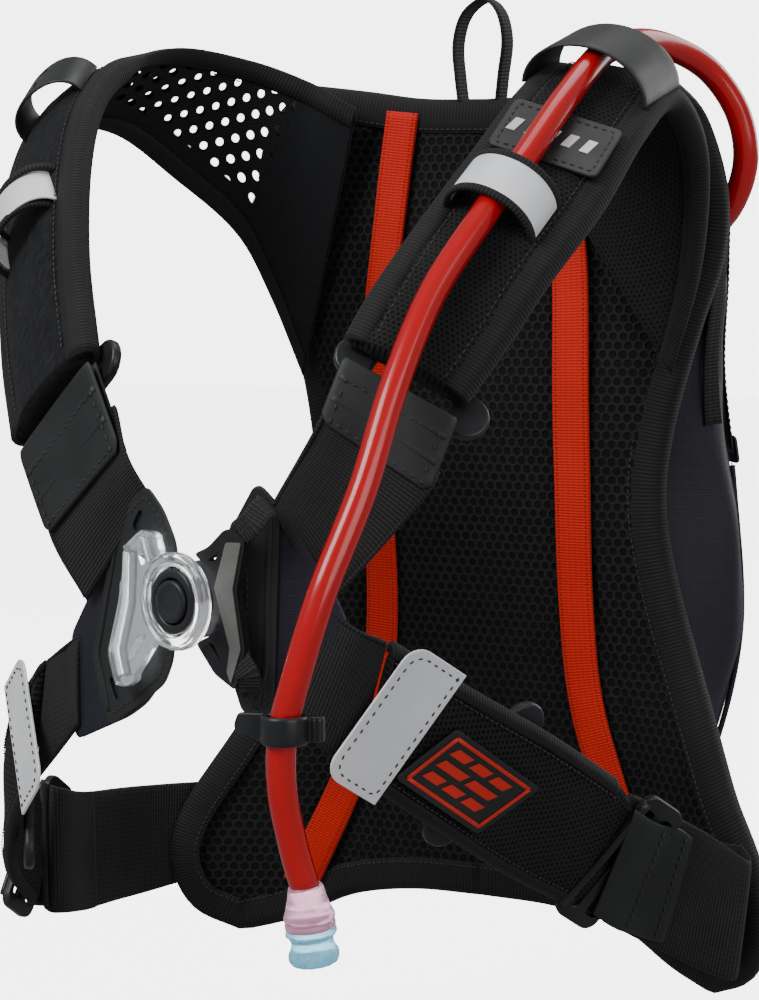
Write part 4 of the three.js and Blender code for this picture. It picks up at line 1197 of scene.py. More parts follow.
def box_stitches(name, edges, span, lift, inset):
    """Dashed stitching round the four sides of a stretch of strap, in four pieces."""
    rows = [strap_line(edges, s, span, lift, inset=inset) for s in (0, 1)]
    share = inset / (50 * MM)
    rows += [strap_cross(edges, u, (share, 1 - share), lift) for u in span]
    return [stitches(f"{name}_{k}", points, outs, 3.4, 2.108, 0.36) for k, (points, outs) in enumerate(rows)]


# ---------------------------------------------------------------- shoulder pads
PAD_T = 9 * MM
PAD_CROWN = 3 * MM
PERFORATED = perforated("perforated_lining", (0.006, 0.0064, 0.0075), (0.016, 0.017, 0.0195), 44 * MM,
                        132 * MM)


def pad_depth(u):
    return PAD_T * mix(0.4, 1, smooth(u / 0.15))


def yoke_depth(u):
    """The right pad is thin, see-through lining over the shoulder and full below it."""
    return PAD_T * mix(0.24, 1, smooth((u - 0.5) / 0.08))


def make_pad(side):
    edges, body = SIDES[side], BODY[side]
    depth = pad_depth if side == "left" else yoke_depth
    surface = PAD_MESH if side == "left" else KNIT

    def swell(u, s):
        field = smooth((s - 0.14) / 0.16) * smooth((0.86 - s) / 0.16)
        folds = 0.5 * math.sin(31 * u + 4 * s) * math.sin(5 * s + 2) + 0.3 * math.sin(67 * u - 6 * s)
        return (1.1 * field + 0.5 * folds * smooth(u / 0.2)) * MM

    low, high = (0.0, 1.0) if side == "left" else (0.5, 1.0)
    pad = strap(f"{side}_shoulder_pad", edges["pad"], surface, depth, PAD_CROWN, steps=90, columns=25,
                span=(low, high), puff=swell, edge_power=6)
    root = at(-62, -16, 120) if side == "right" else at(62, -14, 120)
    tip = at(-104, -80, 168) if side == "right" else at(80, -80, 160)
    bend(pad, body, "lining", root, tip, f"{side}_pad")
    if side == "right":
        yoke = strap("right_yoke_lining", edges["pad"], PERFORATED, yoke_depth, PAD_CROWN * 0.4, steps=70,
                     columns=21, span=(0.0, 0.52), edge_power=10)
        bend(yoke, body, "lining", root, tip, "right_pad")
    for s, label in ((0, "first"), (1, "second")):
        tape = edge_tape(f"{side}_pad_{label}_binding", edges["pad"], s, 8.5 * MM, lambda u: depth(u) * 0.42,
                         BINDING, crown=PAD_CROWN * 0.5, steps=130)
        bend(tape, body, "binding", root, tip)
        line, outs = strap_line(edges["pad"], s, (0.02, 0.98), 0, 120, inset=9.6 * MM)
        lifted = [p + o * (depth(0.02 + 0.96 * i / 119) * 0.5 + 2.0 * MM)
                  for i, (p, o) in enumerate(zip(line, outs))]
        seam = stitches(f"{side}_pad_{label}_seam", lifted, outs, 2.8, 1.9, 0.32)
        bend(seam, body, "binding", root, tip)


make_pad("left")
make_pad("right")


# ---------------------------------------------------------------- tabs and elastics
def make_tab(side):
    edges, body = SIDES[side], BODY[side]
    lift = 2.2 * MM

    def round_end(u):
        far = clamp01((u - 0.86) / 0.14)
        near = clamp01((0.1 - u) / 0.1)
        return -(3.0 * far ** 2 + 1.0 * near ** 2) * MM

    tab = strap(f"{side}_coated_tab", edges["tab"], HYPALON, 1.5 * MM, 0.4 * MM, lift, steps=36, columns=13,
                widen=round_end, edge_power=14)
    keep(tab, body, "hypalon", f"{side}_tab")
    under = strap(f"{side}_tab_backing", edges["tab"], HYPALON, 1.3 * MM, 0.3 * MM, -1.6 * MM, steps=24,
                  columns=11, widen=lambda u: -1.2 * MM, edge_power=14)
    keep(under, body, "hypalon")
    for row in box_stitches(f"{side}_tab_stitch", edges["tab"], (0.30, 0.93), lift + 1.1 * MM, 4.2 * MM):
        keep(row, body, "hypalon")
    for u in (0.28, 0.62):
        points, outs = strap_cross(edges["tab"], u, (0.03, 0.97), lift + 0.75 * MM)
        ridge = sweep(f"{side}_tab_fold_{int(u * 100)}", points, outs,
                      round_section(2.6 * MM, 0.9 * MM, 2, 10), HYPALON)
        keep(ridge, body, "hypalon")


def make_elastics(side):
    edges, body = SIDES[side], BODY[side]

    def sink(u):
        """The upper elastic starts behind the tab and ends behind the wing."""
        return -1.8 * MM * (1 - smooth(u / 0.5)) - 1.2 * MM * smooth((u - 0.6) / 0.4)

    def ripple(u, s):
        return 0.35 * MM * math.sin(9 * u + 3 * s)

    upper = strap(f"{side}_upper_web", edges["upper"], ELASTIC, 1.9 * MM, 0.5 * MM, sink, steps=40,
                  columns=13, puff=ripple, edge_power=14)
    keep(upper, body, "elastic", f"{side}_upper_elastic")
    lower = strap(f"{side}_lower_web", edges["lower"], ELASTIC, 1.9 * MM, 0.4 * MM, -0.5 * MM, steps=36,
                  columns=13, puff=ripple, edge_power=14)
    keep(lower, body, "elastic", f"{side}_lower_elastic")
    for key in ("upper", "lower"):
        for s in (0, 1):
            cord, outs = strap_line(edges[key], s, (0.02, 0.98), 0.2 * MM, 40, inset=0.9 * MM)
            lifted = [p + o * (sink(0.02 + 0.96 * i / 39) if key == "upper" else -0.5 * MM) for i, (p, o) in
                      enumerate(zip(cord, outs))]
            keep(sweep(f"{side}_{key}_selvedge_{s}", lifted, outs, round_section(1.8 * MM, 2.4 * MM, 2, 10),
                       BLACK_WEB),
                 body, "elastic")


for pack_side in ("left", "right"):
    make_tab(pack_side)
    make_elastics(pack_side)


# ---------------------------------------------------------------- waist flaps and tails
def flap_round(u):
    """Rounded far corners of a flap."""
    far = clamp01((u - 0.9) / 0.1)
    near = clamp01((0.05 - u) / 0.05)
    return -(9 * (1 - math.sqrt(max(0.0, 1 - far ** 2))) + 3 * near ** 2) * MM


def make_flap(side):
    edges, body = SIDES[side], BODY[side]

    def lumps(u, s):
        return (0.7 * math.sin(14 * u + 5 * s) * math.sin(4 * s) + 0.9 * math.sin(math.pi * s) ** 0.5) * MM

    flap = strap(f"{side}_flap_mesh", edges["flap"], FLAP_MESH, 3.2 * MM, 0.6 * MM, 0.2 * MM, steps=70,
                 columns=25, widen=flap_round, puff=lumps, edge_power=8)
    keep(flap, body, "spacer_mesh", f"{side}_waist_flap")
    for s in (0, 1):
        tape = edge_tape(f"{side}_flap_tape_{s}", edges["flap"], s, 4.2 * MM, 1.5 * MM, BINDING, (0.0, 0.91),
                         0.3 * MM, 80)
        keep(tape, body, "binding")
        line, outs = strap_line(edges["flap"], s, (0.02, 0.9), 3.4 * MM, 80, inset=5.0 * MM)
        keep(stitches(f"{side}_flap_seam_{s}", line, outs, 2.6, 1.8, 0.3), body, "binding")


def make_pull_tab(side):
    """The silver grab tab folded over the flap's free end, with its dashed stitching."""
    edges, body = SIDES[side], BODY[side]
    point, onward, _, out = spot_on(edges["flap"], 0.06, 4.4)
    outline = [(-28.5, 13.5)] + arc(-20.5, -5.5, 8, 180, 270) + arc(20.5, -5.5, 8, 270, 360) + [(28.5, 13.5)]
    tab = plate(f"{side}_grab_tab", outline, 1.1 * MM, SILVER, point, out, onward, edge=0.35 * MM)
    keep(tab, body, "reflective", f"{side}_pull_tab")
    x = onward.cross(out).normalized()
    inset = [(-25.5, 11)] + arc(-19.5, -4.5, 6, 180, 270) + arc(19.5, -4.5, 6, 270, 360)
    inset += [(25.5, 11), (-25.5, 11)]
    ring = resample([point + (x * px + onward * py + out * 0.75) * MM for px, py in inset], 90)
    keep(stitches(f"{side}_grab_tab_stitch", ring, [out] * 90, 3.6, 1.8, 0.3), body,
         "reflective")


# Where the left waist elastic comes down onto the panel's lobe; the right one goes behind its lobe's edge.
ANCHOR = [
    [(126, -33, -188), (117, -27, -188), (105, -19.5, -187)],
    [(131, -35, -137), (123, -30, -138), (111, -21, -139)],
]


def cover_lift(u):
    """How far the cover over the ladder lock stands off the elastic, in millimetres."""
    return 8.4 + math.sin(math.pi * clamp01(u / 0.42)) - 5.6 * smooth((u - 0.26) / 0.14)


def make_tail(side):
    """The waist elastic: it turns round the ladder lock and runs to the panel's lobe."""
    edges, body = SIDES[side], BODY[side]
    sign = 1 if side == "left" else -1
    start, end = at(sign * 138, -32, -165), at(sign * 146, -74, -165)

    def wave(u, s):
        return (0.5 * math.sin(11 * u + 2 * s) + 0.3 * math.sin(23 * u)) * MM

    def folded_back(u):
        return -(3.2 + 2.4 * math.sin(math.pi * clamp01((u - 0.02) / 0.5))) * MM

    def cover_end(u):
        return -2.5 * MM - 2.0 * MM * clamp01((u - 0.36) / 0.08) ** 2

    tail = strap(f"{side}_waist_web", edges["tail"], ELASTIC, 1.9 * MM, 0.3 * MM, 0.4 * MM, steps=60,
                 columns=17, puff=wave, edge_power=14)
    bend(tail, body, "elastic", start, end, f"{side}_waist_elastic")
    back = strap(f"{side}_waist_return", edges["tail"], ELASTIC, 1.9 * MM, 0.3 * MM, folded_back, steps=36,
                 columns=13, span=(0.02, 0.52), puff=wave, widen=-1.0 * MM, edge_power=14)
    bend(back, body, "elastic", start, end)
    cover = strap(f"{side}_lock_cover", edges["tail"], HYPALON, 1.4 * MM, 0.5 * MM,
                  lambda u: cover_lift(u) * MM, steps=36, columns=13, span=(0.0, 0.44), widen=cover_end,
                  edge_power=12)
    keep(cover, body, "hypalon")
    for u in (0.3, 0.41):
        points, outs = strap_cross(edges["tail"], u, (0.12, 0.88), 0)
        height = cover_lift(u) + 1.5
        row = stitches(f"{side}_lock_stitch_{int(u * 100)}",
                       [p + o * height * MM for p, o in zip(points, outs)], outs, 3.2, 2.0, 0.35)
        keep(row, body, "hypalon")


def make_anchor():
    """The sewn end of the left waist elastic, flat on the lobe."""
    anchor = strap("left_web_anchor", ANCHOR, ELASTIC, 1.9 * MM, 0.2 * MM, 0.3 * MM, steps=20, columns=17,
                   edge_power=14)
    keep(anchor, "pack", "elastic")
    for u in (0.45, 0.85):
        points, outs = strap_cross(ANCHOR, u, (0.06, 0.94), 1.6 * MM)
        row = stitches(f"left_anchor_stitch_{int(u * 100)}", points, outs, 3.2, 2.0, 0.35)
        keep(row, "pack", "elastic")


for pack_side in ("left", "right"):
    make_flap(pack_side)
    make_pull_tab(pack_side)
    make_tail(pack_side)
make_anchor()


# ---------------------------------------------------------------- rings and ladder locks
def make_ring(side, key, u, width, length, lift, shift, slide, node, slot_share=0.5):
    """A moulded strap ring: paddle ends and a slot for the elastic."""
    point, onward, _, out = spot_on(SIDES[side][key], u, lift, shift, slide)
    half, end = width / 2, length / 2
    outline = []
    for cx, start in ((half - end, -90), (-half + end, 90)):
        outline += arc(cx, 0, end, start, start + 180, 10)
    slot = rounded_rectangle(width * slot_share, length - 6.4, 3, 4)
    ring = plate(node + "_moulding", outline, 4 * MM, PLASTIC, point, out, onward, holes=[slot[::-1]],
                 edge=1.3 * MM)
    keep(ring, BODY[side], "black_plastic", node)


def make_ladder_lock(side):
    point, onward, _, out = spot_on(SIDES[side]["tail"], 0.09, 5.0, 0)
    width, length = 60, 20
    outline = rounded_rectangle(width, length, 5, 6)
    slots = []
    for sign in (-1, 1):
        ring = rounded_rectangle(width - 12, length / 2 - 4.6, 1.6, 3)
        slots.append([(x, y + sign * length / 4) for x, y in ring][::-1])
    lock = plate(f"{side}_ladder_lock_moulding", outline, 3.6 * MM, PLASTIC, point, out, onward, holes=slots,
                 edge=0.9 * MM)
    keep(lock, BODY[side], "black_plastic", f"{side}_ladder_lock")
    x = onward.cross(out).normalized()
    lip_path = [point + (x * t * (width / 2 - 4) + out * (2.2 + 0.8 * (1 - t * t)) - onward * 8.5) * MM
                for t in [k / 10 - 1 for k in range(21)]]
    lip = sweep(f"{side}_ladder_lip", lip_path, [out] * 21, round_section(3.4 * MM, 2.6 * MM, 2.4, 12),
                PLASTIC)
    keep(lip, BODY[side], "black_plastic")


for pack_side in ("left", "right"):
    make_ring(pack_side, "pad", 1.0, 62, 17, -7.5, 1, 4, f"{pack_side}_pad_ring")
    make_ring(pack_side, "flap", 0.5, 66, 17, -7, 0, 0, f"{pack_side}_waist_ring")
    make_ladder_lock(pack_side)


# ---------------------------------------------------------------- wings that carry the buckle halves
BUCKLE = at(-10, -230, -26)
RING_TURN = -17
GRIP = at(18, -225, -26)
GRIP_TURN = 8


def facing(degrees):
    """The way a plane faces when it is turned about Z from straight ahead."""
    turn = math.radians(degrees)
    return Vector((math.sin(turn), -math.cos(turn), 0))


def on_plane(origin, turn):
    """A function from (across, up, off) millimetres on an upright plane to a point."""
    out = facing(turn)
    x = UP.cross(out).normalized()
    return lambda px, py, off=0.0: origin + (x * px + UP * py + out * off) * MM


def inset_ring(outline, inset, count):
    """Points kept a distance inside a closed outline, in millimetres."""
    corners = [Vector((x, y, 0)) for x, y in outline]
    ring = resample(corners + corners[:1], count + 1)[:-1]
    area = sum(ring[i - 1].x * ring[i].y - ring[i].x * ring[i - 1].y for i in range(count))
    sign = 1 if area > 0 else -1
    moved = []
    for i, p in enumerate(ring):
        run = (ring[(i + 2) % count] - ring[i - 2]).normalized()
        moved.append((p.x - sign * run.y * inset, p.y + sign * run.x * inset))
    return moved


def make_wing(side, origin, turn, base, overlay, cut, slots):
    """A nylon wing with a coated overlay, its stitched edge and the slots that the buckle's loops pass."""
    body, out = BODY[side], facing(turn)
    spot = on_plane(origin, turn)
    under = plate(f"{side}_wing_nylon", rounded_outline(base, 5), 2.2 * MM, NAVY, spot(0, 0, -0.3), out, UP,
                  edge=0.8 * MM)
    keep(under, body, "navy_nylon", f"{side}_wing")
    shape = rounded_outline(overlay, 4, 6)
    holes = [[(x + px * math.cos(a) - py * math.sin(a), y + px * math.sin(a) + py * math.cos(a))
              for px, py in rounded_rectangle(9, 3.4, 1.6, 4)][::-1] for x, y, a in slots]
    over = plate(f"{side}_wing_overlay", shape, 1.2 * MM, HYPALON, spot(0, 0, 1.4), out, UP, holes=holes,
                 edge=0.4 * MM)
    keep(over, body, "hypalon")
    ring = [spot(px, py, 2.15) for px, py in inset_ring(shape, 3.4, 150)]
    keep(stitches(f"{side}_wing_stitch", ring + ring[:1], [out] * 151, 3.0, 1.9, 0.32), body,
         "hypalon")
    seam = resample([spot(px, py, 2.1) for px, py in cut], 30)
    ridge = sweep(f"{side}_wing_fold", seam, [out] * 30, round_section(2.2 * MM, 0.9 * MM, 2, 10), HYPALON)
    keep(ridge, body, "hypalon")


make_wing(
    "right", at(-46, -209, -36), -25,
    [(19, 49), (25, 36), (27, 18), (26, -4), (24, -22), (16, -30), (3, -37), (-35, -51), (-36, -30),
     (-37.5, -11), (-25, 4), (-5, 32)],
    [(19.2, 49.8), (30, 42), (38, 31.2), (39.5, 24.4), (31, 19.6), (27.3, 10), (31, 0.4), (37, -5),
     (36, -12), (30.6, -21), (15.8, -29.7), (-6.8, -41.2), (-11.6, -36.7), (-19.6, -17), (-9, 14),
     (-2.3, 36.9)],
    [(-8, -36), (-15, -15), (-5.5, 14), (2, 38)],
    [(13.5, 36.5, math.radians(50)), (-4, -27, math.radians(-62))],
)
make_wing(
    "left", at(34, -212, -22), 14,
    [(-19, 39), (-12, 32), (9, 1), (15, -13), (-2.5, -50), (-12, -47), (-24, -43), (-27, -31), (-21, -16),
     (-19, 0), (-21, 14), (-27, 23)],
    [(-18.8, 38.6), (-11.7, 31.5), (-10, 26.7), (-11.9, -28.1), (-13, -45), (-20, -44.6), (-24.3, -43.4),
     (-28, -32), (-26, -14), (-25.5, 0), (-26, 13), (-28, 22)],
    [(-13.5, 30), (-14.5, 0), (-15, -26), (-19, -42)],
    [],
)


# ---------------------------------------------------------------- chest buckle
def flex(piece):
    """Clear plastic that is held by the wing along its outer side; its transform is baked into its mesh."""
    spot = on_plane(BUCKLE, RING_TURN)
    tuple(spot(-25.5, -3.6, 0))
    tuple(spot(-15.8, -6.3, 0))
    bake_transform(piece)


def make_clear_half():
    out = facing(RING_TURN)
    catch = turned("buckle_clear_ring", [
        (12.6, -1.9), (12.5, 0.4), (12.7, 1.8), (13.2, 2.3), (13.9, 2.2), (14.3, 1.4), (15.1, 1.2),
        (15.7, 1.5), (16.2, 2.2), (16.8, 2.3), (17.4, 1.7), (17.6, 0.2), (17.4, -1.6), (16.8, -2.0),
    ], CLEAR, BUCKLE, out, ring=True)
    keep(catch, "clear_buckle", "clear_plastic", "buckle_clear_half")
    outline = rounded_outline([(-28, 17), (-17, 24.4), (-9.4, 23.6), (-6.2, 16.2)], 1.6, 4)
    outline = outline[:-2] + arc(0, 0, 16.9, 111, 120.88, 2) + arc(0, 0, 16.9, 120.88, 238, 25)[1:]
    outline += rounded_outline([(-20.7, -30.3), (-26.3, -33.6), (-32.3, -33.1), (-36.4, -22), (-29.4, -1.4),
                                (-28.8, 6)], 2, 4)
    notch = rounded_outline([(-18.6, 15.4), (-13.9, 13.4), (-16.7, 11.4)], 0.8, 3)
    slit = rounded_outline([(-18.6, -13.6), (-19.2, -16.2), (-25.2, -23.4), (-20.6, -15.6)], 0.6, 3)
    bow = plate("buckle_clear_bow", outline, 3.2 * MM, CLEAR, BUCKLE, out, UP, holes=[notch, slit],
                edge=1.0 * MM)
    flex(bow)
    spot = on_plane(BUCKLE, RING_TURN)
    spine = resample([spot(*p, 1.7) for p in [(-25, 16), (-25.5, 4), (-26, -3), (-31.5, -20), (-28.5, -30)]],
                     40)
    rib = sweep("buckle_clear_spine", spine, [out] * 40, round_section(3.6 * MM, 1.5 * MM, 2.2, 12), CLEAR)
    flex(rib)
    strut = resample([spot(*p, 1.7) for p in [(-16.5, 22), (-14.6, 17), (-12.6, 12.6)]], 14)
    flex(sweep("buckle_clear_strut", strut, [out] * 14, round_section(1.8 * MM, 1.3 * MM, 2.2, 10), CLEAR))


def make_black_half():
    out, grip_out = facing(RING_TURN), facing(GRIP_TURN)
    spot = on_plane(GRIP, GRIP_TURN)
    body = "harness_left"
    grip = rounded_outline([
        (-1, 22.5), (-5.4, 26.6), (-8.9, 26.4), (-15, 20), (-20.5, 17.4), (-13.5, 11), (-11, 4), (-11, -4),
        (-13.5, -11), (-20, -14.2), (-12.8, -25), (-8.5, -28), (-5, -30.4), (-1.2, -16), (-4.3, 4.5),
    ], 1.6, 4)
    slits = [rounded_outline(points, 0.5, 3)[::-1] for points in (
        [(-15.4, 15.2), (-11.2, 18.2), (-12.8, 14.6)], [(-15.2, -13.8), (-10.2, -20.4), (-13.2, -14.6)])]
    bar = plate("buckle_black_grip", grip, 5.6 * MM, PLASTIC, GRIP, grip_out, UP, holes=slits, edge=1.1 * MM)
    keep(bar, body, "black_plastic", "buckle_black_half")
    # A thin grey plate on the grip's face: painted reflection of the light on the glossy black bar.
    reflection_outline = rounded_outline([
        (-8.2, 21.8), (-2.4, 21.9), (-5.6, 5.4), (-2.6, -15.8), (-6.4, -28), (-8, -24), (-6.8, -15.6),
        (-12.6, 5.6),
    ], 0.8, 4)
    painted_reflection = plate("buckle_grip_painted_reflection", reflection_outline, 1.0 * MM, GRIP_REFLECTION_PAINT, spot(0, 0, 2.9), grip_out, UP,
                    edge=0.35 * MM)
    keep(painted_reflection, body, "black_plastic")
    neck = [(-22, -13), (-22, 15), (-15, 14), (-9, 6), (-9, -6), (-15, -12)]
    web = plate("buckle_black_neck", rounded_outline(neck, 2, 4), 4.4 * MM, PLASTIC, spot(0, 0, -0.9),
                grip_out, UP, edge=0.7 * MM)
    keep(web, body, "black_plastic")
    stud = turned("buckle_black_stud", [
        (8.3, -5.4), (8.3, 1.4), (8.6, 1.9), (9.2, 2.05), (11.0, 2.0), (11.5, 1.7), (11.7, 1.1),
        (11.7, -3.0), (13.2, -3.3), (13.4, -3.8), (13.4, -6.6), (12.9, -7.1), (1.0, -7.2), (1.0, -5.5),
    ], PLASTIC, BUCKLE, out, ring=True)
    keep(stud, body, "black_plastic")
    button = turned("release_button_cap", [
        (7.5, -0.7), (7.7, -0.4), (7.7, 2.2), (7.45, 2.75), (6.9, 3.0), (5.4, 2.95), (4.9, 2.7), (3.0, 2.55),
        (0.4, 2.5),
    ], PLASTIC, BUCKLE, out)
    keep(button, "release_button", "black_plastic", "buckle_button")
    for label, y_low, y_high, lean in (("upper", 23.5, 33.5, 4.5), ("lower", -18.5, -29.5, 0.5)):
        loop = resample([spot(x, y, off) for x, y, off in [
            (-5, y_low, -1.5), (-3, mix(y_low, y_high, 0.2), 2.2),
            (lean * 0.4, mix(y_low, y_high, 0.55), 3.4), (lean, y_high, 1.0),
            (lean + 1, mix(y_low, y_high, 1.1), -3)]], 24)
        band = sweep(f"buckle_loop_{label}", loop, [grip_out] * 24, round_section(9.5 * MM, 1.6 * MM, 4, 14),
                     ELASTIC)
        keep(band, body, "elastic")


make_clear_half()
make_black_half()


# ---------------------------------------------------------------- hose clip
def make_hose_clip():
    """The moulded clip round the hose, with its slanted tail and grooved flange."""
    middle = at(43.5, -245.8, -65)
    collar = turned("hose_clip_collar", [
        (6.2, -4.6), (6.0, -3.9), (6.0, 3.9), (6.2, 4.6), (6.8, 5.0), (7.7, 5.0), (8.2, 4.5), (8.35, 3.6),
        (8.35, -3.6), (8.2, -4.5), (7.7, -5.0), (6.8, -5.0),
    ], PLASTIC, middle, UP, ring=True)
    keep(collar, "harness_left", "black_plastic", "hose_clip")
    turn = 12
    spot = on_plane(middle, turn)
    tail = rounded_outline([(-4, -5), (-8, -5), (-12, -3.2), (-17.6, -3.6), (-19, 0.4), (-17.4, 4.8),
                            (-8, 5), (-4, 5)], 1.4, 4)
    wing = plate("hose_clip_tail", tail, 2.4 * MM, PLASTIC, spot(0, 0, -2.4), facing(turn), UP,
                 edge=0.7 * MM)
    keep(wing, "harness_left", "black_plastic")
    flange = rounded_outline([(5, -4.6), (13.4, -4.2), (13.4, 4.8), (5, 4.6)], 1.0, 4)
    pad = plate("hose_clip_flange", flange, 3.4 * MM, PLASTIC, spot(0, 0, -2.6), facing(turn), UP,
                edge=0.7 * MM)
    keep(pad, "harness_left", "black_plastic")
    for k in range(3):
        groove = [spot(8.6 + 1.9 * k, mix(-4, 4, t / 8), -0.7) for t in range(9)]
        keep(sweep(f"hose_clip_rib_{k}", groove, [facing(turn)] * 9, round_section(0.9 * MM, 0.8 * MM, 2, 8),
                   PLASTIC),
             "harness_left", "black_plastic")


make_hose_clip()


# ---------------------------------------------------------------- bands, keepers and patches
def arch_path(point, across, out, width, height, sink=2.4, count=48, power=2.3):
    """Points and upward directions along a loop that stands off a strap, its ends sunk into the pad."""
    flat = []
    for i in range(count):
        x = -width / 2 * math.cos(math.pi * i / (count - 1))
        share = min(1.0, abs(x) / (width / 2))
        flat.append(Vector((x, (height + sink) * (1 - share ** power) ** (1 / power) - sink, 0)))
    line = resample(flat, count)
    points, ups = [], []
    for i, p in enumerate(line):
        run = heading(line, i)
        points.append(point + (across * p.x + out * p.y) * MM)
        ups.append((out * run.x - across * run.y).normalized())
    return points, ups


def cut_holes(piece, cutters):
    """Takes the cutters' shapes out of a piece for good."""
    for cutter in cutters:
        modifier = piece.modifiers.new("Cut", "BOOLEAN")
        modifier.object = cutter
        modifier.solver = "EXACT"
        bpy.context.view_layer.update()
        graph = bpy.context.evaluated_depsgraph_get()
        cut = bpy.data.meshes.new_from_object(piece.evaluated_get(graph))
        piece.modifiers.remove(modifier)
        piece.data = cut
        bpy.data.objects.remove(cutter)


def make_bands():
    left, right = SIDES["left"]["pad"], SIDES["right"]["pad"]
    point, onward, across, out = spot_on(left, 0.43, 8.4)
    path, ups = arch_path(point, across, out, 52, 14.4, 5.0, power=2.0)
    band = sweep("hose_band", path, ups, round_section(30 * MM, 1.5 * MM, 8, 20), RUBBER)
    keep(band, "harness_left", "rubber_black", "left_hose_band")
    make_keeper("left", "left_hose_keeper", spot_on(left, 0.69, 8.4, 0, -3), 36, 14.4, 19)
    point, onward, across, out = spot_on(right, 0.6, 8.6)
    path, ups = arch_path(point, across, out, 36, 10, 3.0)
    stand = sweep("stand_off_band", path, ups, round_section(22 * MM, 1.4 * MM, 8, 20), RUBBER)
    cutters = [turned(f"punch_{k}", [(3.0, -9), (3.0, 9)], RUBBER, point + (onward * k + out * 9) * MM, out)
               for k in (-6, 5)]
    cut_holes(stand, cutters)
    keep(stand, "harness_right", "rubber_black", "right_hose_band")
    make_keeper("right", "right_hose_keeper", spot_on(right, 0.79, 8.4), 36, 11, 19)


def make_keeper(side, node, place, width, height, length):
    """A reflective loop with ribbed tape along both edges."""
    point, onward, across, out = place
    body = BODY[side]
    path, ups = arch_path(point, across, out, width, height, 3.0, power=2.1)
    keep(sweep(f"{side}_keeper_film", path, ups, round_section(length * MM, 1.1 * MM, 8, 18), SILVER), body,
         "reflective", node)
    for sign in (-1, 1):
        edge = [p + onward * sign * length / 2 * MM for p in path]
        keep(sweep(f"{side}_keeper_tape_{'b' if sign > 0 else 'a'}", edge, ups,
                   round_section(3.2 * MM, 2.2 * MM, 3, 14), BLACK_WEB), body, "reflective")


def make_pad_patch():
    """The moulded patch on the left pad, with stitches and a plain mark of slanting bars."""
    body = "harness_left"
    point, onward, _, out = spot_on(SIDES["left"]["pad"], 0.58, 8.6)
    shape = rounded_rectangle(44, 27, 3, 6)
    base = plate("pad_patch", shape, 1.6 * MM, RUBBER, point, out, onward, edge=0.5 * MM)
    keep(base, body, "rubber_black", "left_pad_patch")
    x = onward.cross(out).normalized()
    ring = [point + (x * px + onward * py + out * 0.9) * MM for px, py in inset_ring(shape, 2.6, 90)]
    keep(stitches("pad_patch_stitch", ring + ring[:1], [out] * 91, 3.2, 2.0, 0.34), body,
         "rubber_black")
    for k in range(5):
        left_end = -16 + 7.4 * k
        bar = [(left_end, -3.4), (left_end + 3.6, -3.4), (left_end + 5.2, 3.4), (left_end + 1.6, 3.4)]
        mark = plate(f"pad_patch_bar_{k}", bar, 0.5 * MM, WHITE_PRINT, point + out * 0.85 * MM, out, onward,
                     edge=0.12 * MM)
        keep(mark, body, "rubber_black")


def make_flap_patch():
    """The bordered patch on the left waist flap, with plain raised bars in place of any wording."""
    body = "harness_left"
    point, onward, _, out = spot_on(SIDES["left"]["flap"], 0.4, 4.6, -3, -4)
    corners = [(-14.6, -19.6), (-12.4, 31), (14.6, 19.6), (12.4, -29)]
    base = plate("flap_patch", rounded_outline(corners, 2, 4), 1.5 * MM, RUBBER, point, out, onward,
                 edge=0.45 * MM)
    keep(base, body, "rubber_black", "left_flap_patch")
    x = onward.cross(out).normalized()

    def inside(across_share, along_share):
        a, b, c, d = [Vector(p) for p in corners]
        return a.lerp(b, along_share).lerp(d.lerp(c, along_share), across_share)

    low, high = 0.1, 0.9
    frame = [inside(s, t) for s, t in ((low, 0.07), (low, 0.93), (high, 0.93), (high, 0.07))]
    for k in range(4):
        ends = (frame[k], frame[(k + 1) % 4])
        path = [ends[0].lerp(ends[1], t / 9) for t in range(10)]
        path = [point + (x * p.x + onward * p.y + out * 0.95) * MM for p in path]
        keep(sweep(f"flap_patch_border_{k}", path, [out] * 10, round_section(1.5 * MM, 0.7 * MM, 4, 12),
                   RED_PRINT), body,
             "red_webbing")
    for row in range(3):
        for k in range(3 if row != 1 else 2):
            start = 0.17 + k * (0.23 if row != 1 else 0.34)
            stop = start + (0.17 if row != 1 else 0.28)
            across_low = 0.2 + 0.22 * row
            bar = [inside(s, t) for s, t in ((across_low, start), (across_low, stop),
                                             (across_low + 0.13, stop - 0.03),
                                             (across_low + 0.13, start - 0.03))]
            mark = plate(f"flap_patch_bar_{row}_{k}", [(p.x, p.y) for p in bar], 0.6 * MM, RED_PRINT,
                         point + out * 0.9 * MM, out, onward, edge=0.12 * MM)
            keep(mark, body, "red_webbing")


make_bands()
make_pad_patch()
make_flap_patch()


# ---------------------------------------------------------------- inside the bag
def make_bladder():
    """The water bag: a soft film pillow."""
    middle, half = at(0, 35, -38), Vector((60, 19, 98)) * MM
    rings, count = 40, 56
    points, uvs = [], []
    for i in range(rings + 1):
        polar = math.pi * (0.02 + 0.96 * i / rings)
        for k in range(count):
            a = 2 * math.pi * k / count
            unit = (math.sin(polar) * math.cos(a), math.sin(polar) * math.sin(a), math.cos(polar))
            x, y, z = [math.copysign(abs(c) ** 0.75, c) for c in unit]
            crease = 1 + 0.02 * math.sin(9 * a + 5 * polar) * math.sin(7 * polar)
            points.append(middle + Vector((x * half.x, y * half.y * crease, z * half.z)) * 0.985)
            uvs.append((a, polar))
    film = mesh_object("water_film_bag", points, capped_tube(rings + 1, count), WATER_FILM, uvs)
    keep(film, "pack", "water_film", "bladder")


make_bladder()


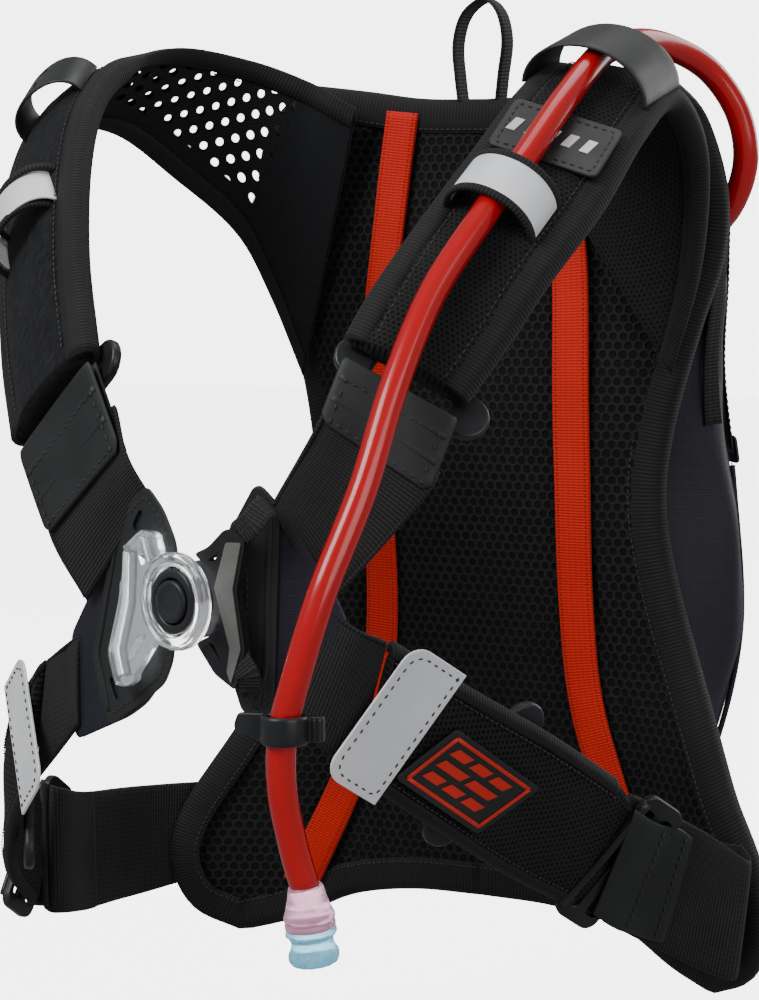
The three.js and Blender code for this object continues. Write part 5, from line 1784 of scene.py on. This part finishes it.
# ---------------------------------------------------------------- the CAD's own pieces
PAINTED = {
    "bladder_slide": PLASTIC,
    "bladder_port": PLASTIC,
    "left_zip_slider": PLASTIC,
    "right_zip_slider": PLASTIC,
    "left_zip_puller": PLASTIC,
    "right_zip_puller": PLASTIC,
    "buckle_spring": STEEL,
}
for node, paint in PAINTED.items():
    materials = frame["nodes"][node].data.materials
    materials.clear()
    materials.append(paint)


# ---------------------------------------------------------------- scene
FLOOR_REACH = 6.0
FLOOR_LOW = -0.27
FLOOR_GLOW = 4.3
WORLD_ON_OBJECT = 0.3
WORLD_SEEN = 5.0


def make_stage():
    """A plain, nearly white floor."""
    f = Finish("floor_paint")
    cloud = f.noise(2, 2)
    paint = f.done(Base_Color=f.blend(cloud, (0.86, 0.86, 0.86), (0.9, 0.9, 0.9)), Roughness=0.9,
                   Emission_Color=(1, 1, 1), Emission_Strength=FLOOR_GLOW)
    corners = [(-1, -1), (1, -1), (1, 1), (-1, 1)]
    points = [(x * FLOOR_REACH, y * FLOOR_REACH, FLOOR_LOW) for x, y in corners]
    floor = mesh_object("floor_sheet", points, [(0, 1, 2, 3)], paint)
    floor.visible_diffuse = False
    floor.visible_glossy = False
    floor.visible_shadow = False


def make_light(name, place, target, size, energy):
    data = bpy.data.lights.new(name, "AREA")
    data.shape = "RECTANGLE"
    data.size = size
    data.size_y = size
    data.energy = energy
    light = bpy.data.objects.new(name, data)
    bpy.context.scene.collection.objects.link(light)
    light.location = place
    light.rotation_euler = (target - place).to_track_quat("-Z", "Y").to_euler()


make_stage()
make_light("key", Vector((-0.6, -1.3, 1.1)), Vector((0, -0.1, 0)), 0.9, 26)
make_light("fill", Vector((1.5, -0.8, 0.5)), Vector((0, -0.1, 0)), 1.2, 12)
make_light("back", Vector((0.7, 1.5, 0.7)), Vector((0, 0.05, 0)), 1.2, 16)
make_light("top", Vector((0.1, 0.3, 1.6)), Vector((0, 0, 0)), 1.0, 10)


def make_world():
    """White behind the object, and a softer white light on it."""
    world = bpy.data.worlds.new("studio")
    world.use_nodes = True
    tree = world.node_tree
    plain = tree.nodes["Background"]
    plain.inputs["Color"].default_value = (1, 1, 1, 1)
    path = tree.nodes.new("ShaderNodeLightPath")
    strength = tree.nodes.new("ShaderNodeMapRange")
    strength.inputs["To Min"].default_value = WORLD_ON_OBJECT
    strength.inputs["To Max"].default_value = WORLD_SEEN
    tree.links.new(path.outputs["Is Camera Ray"], strength.inputs["Value"])
    tree.links.new(strength.outputs[0], plain.inputs["Strength"])
    bpy.context.scene.world = world


make_world()
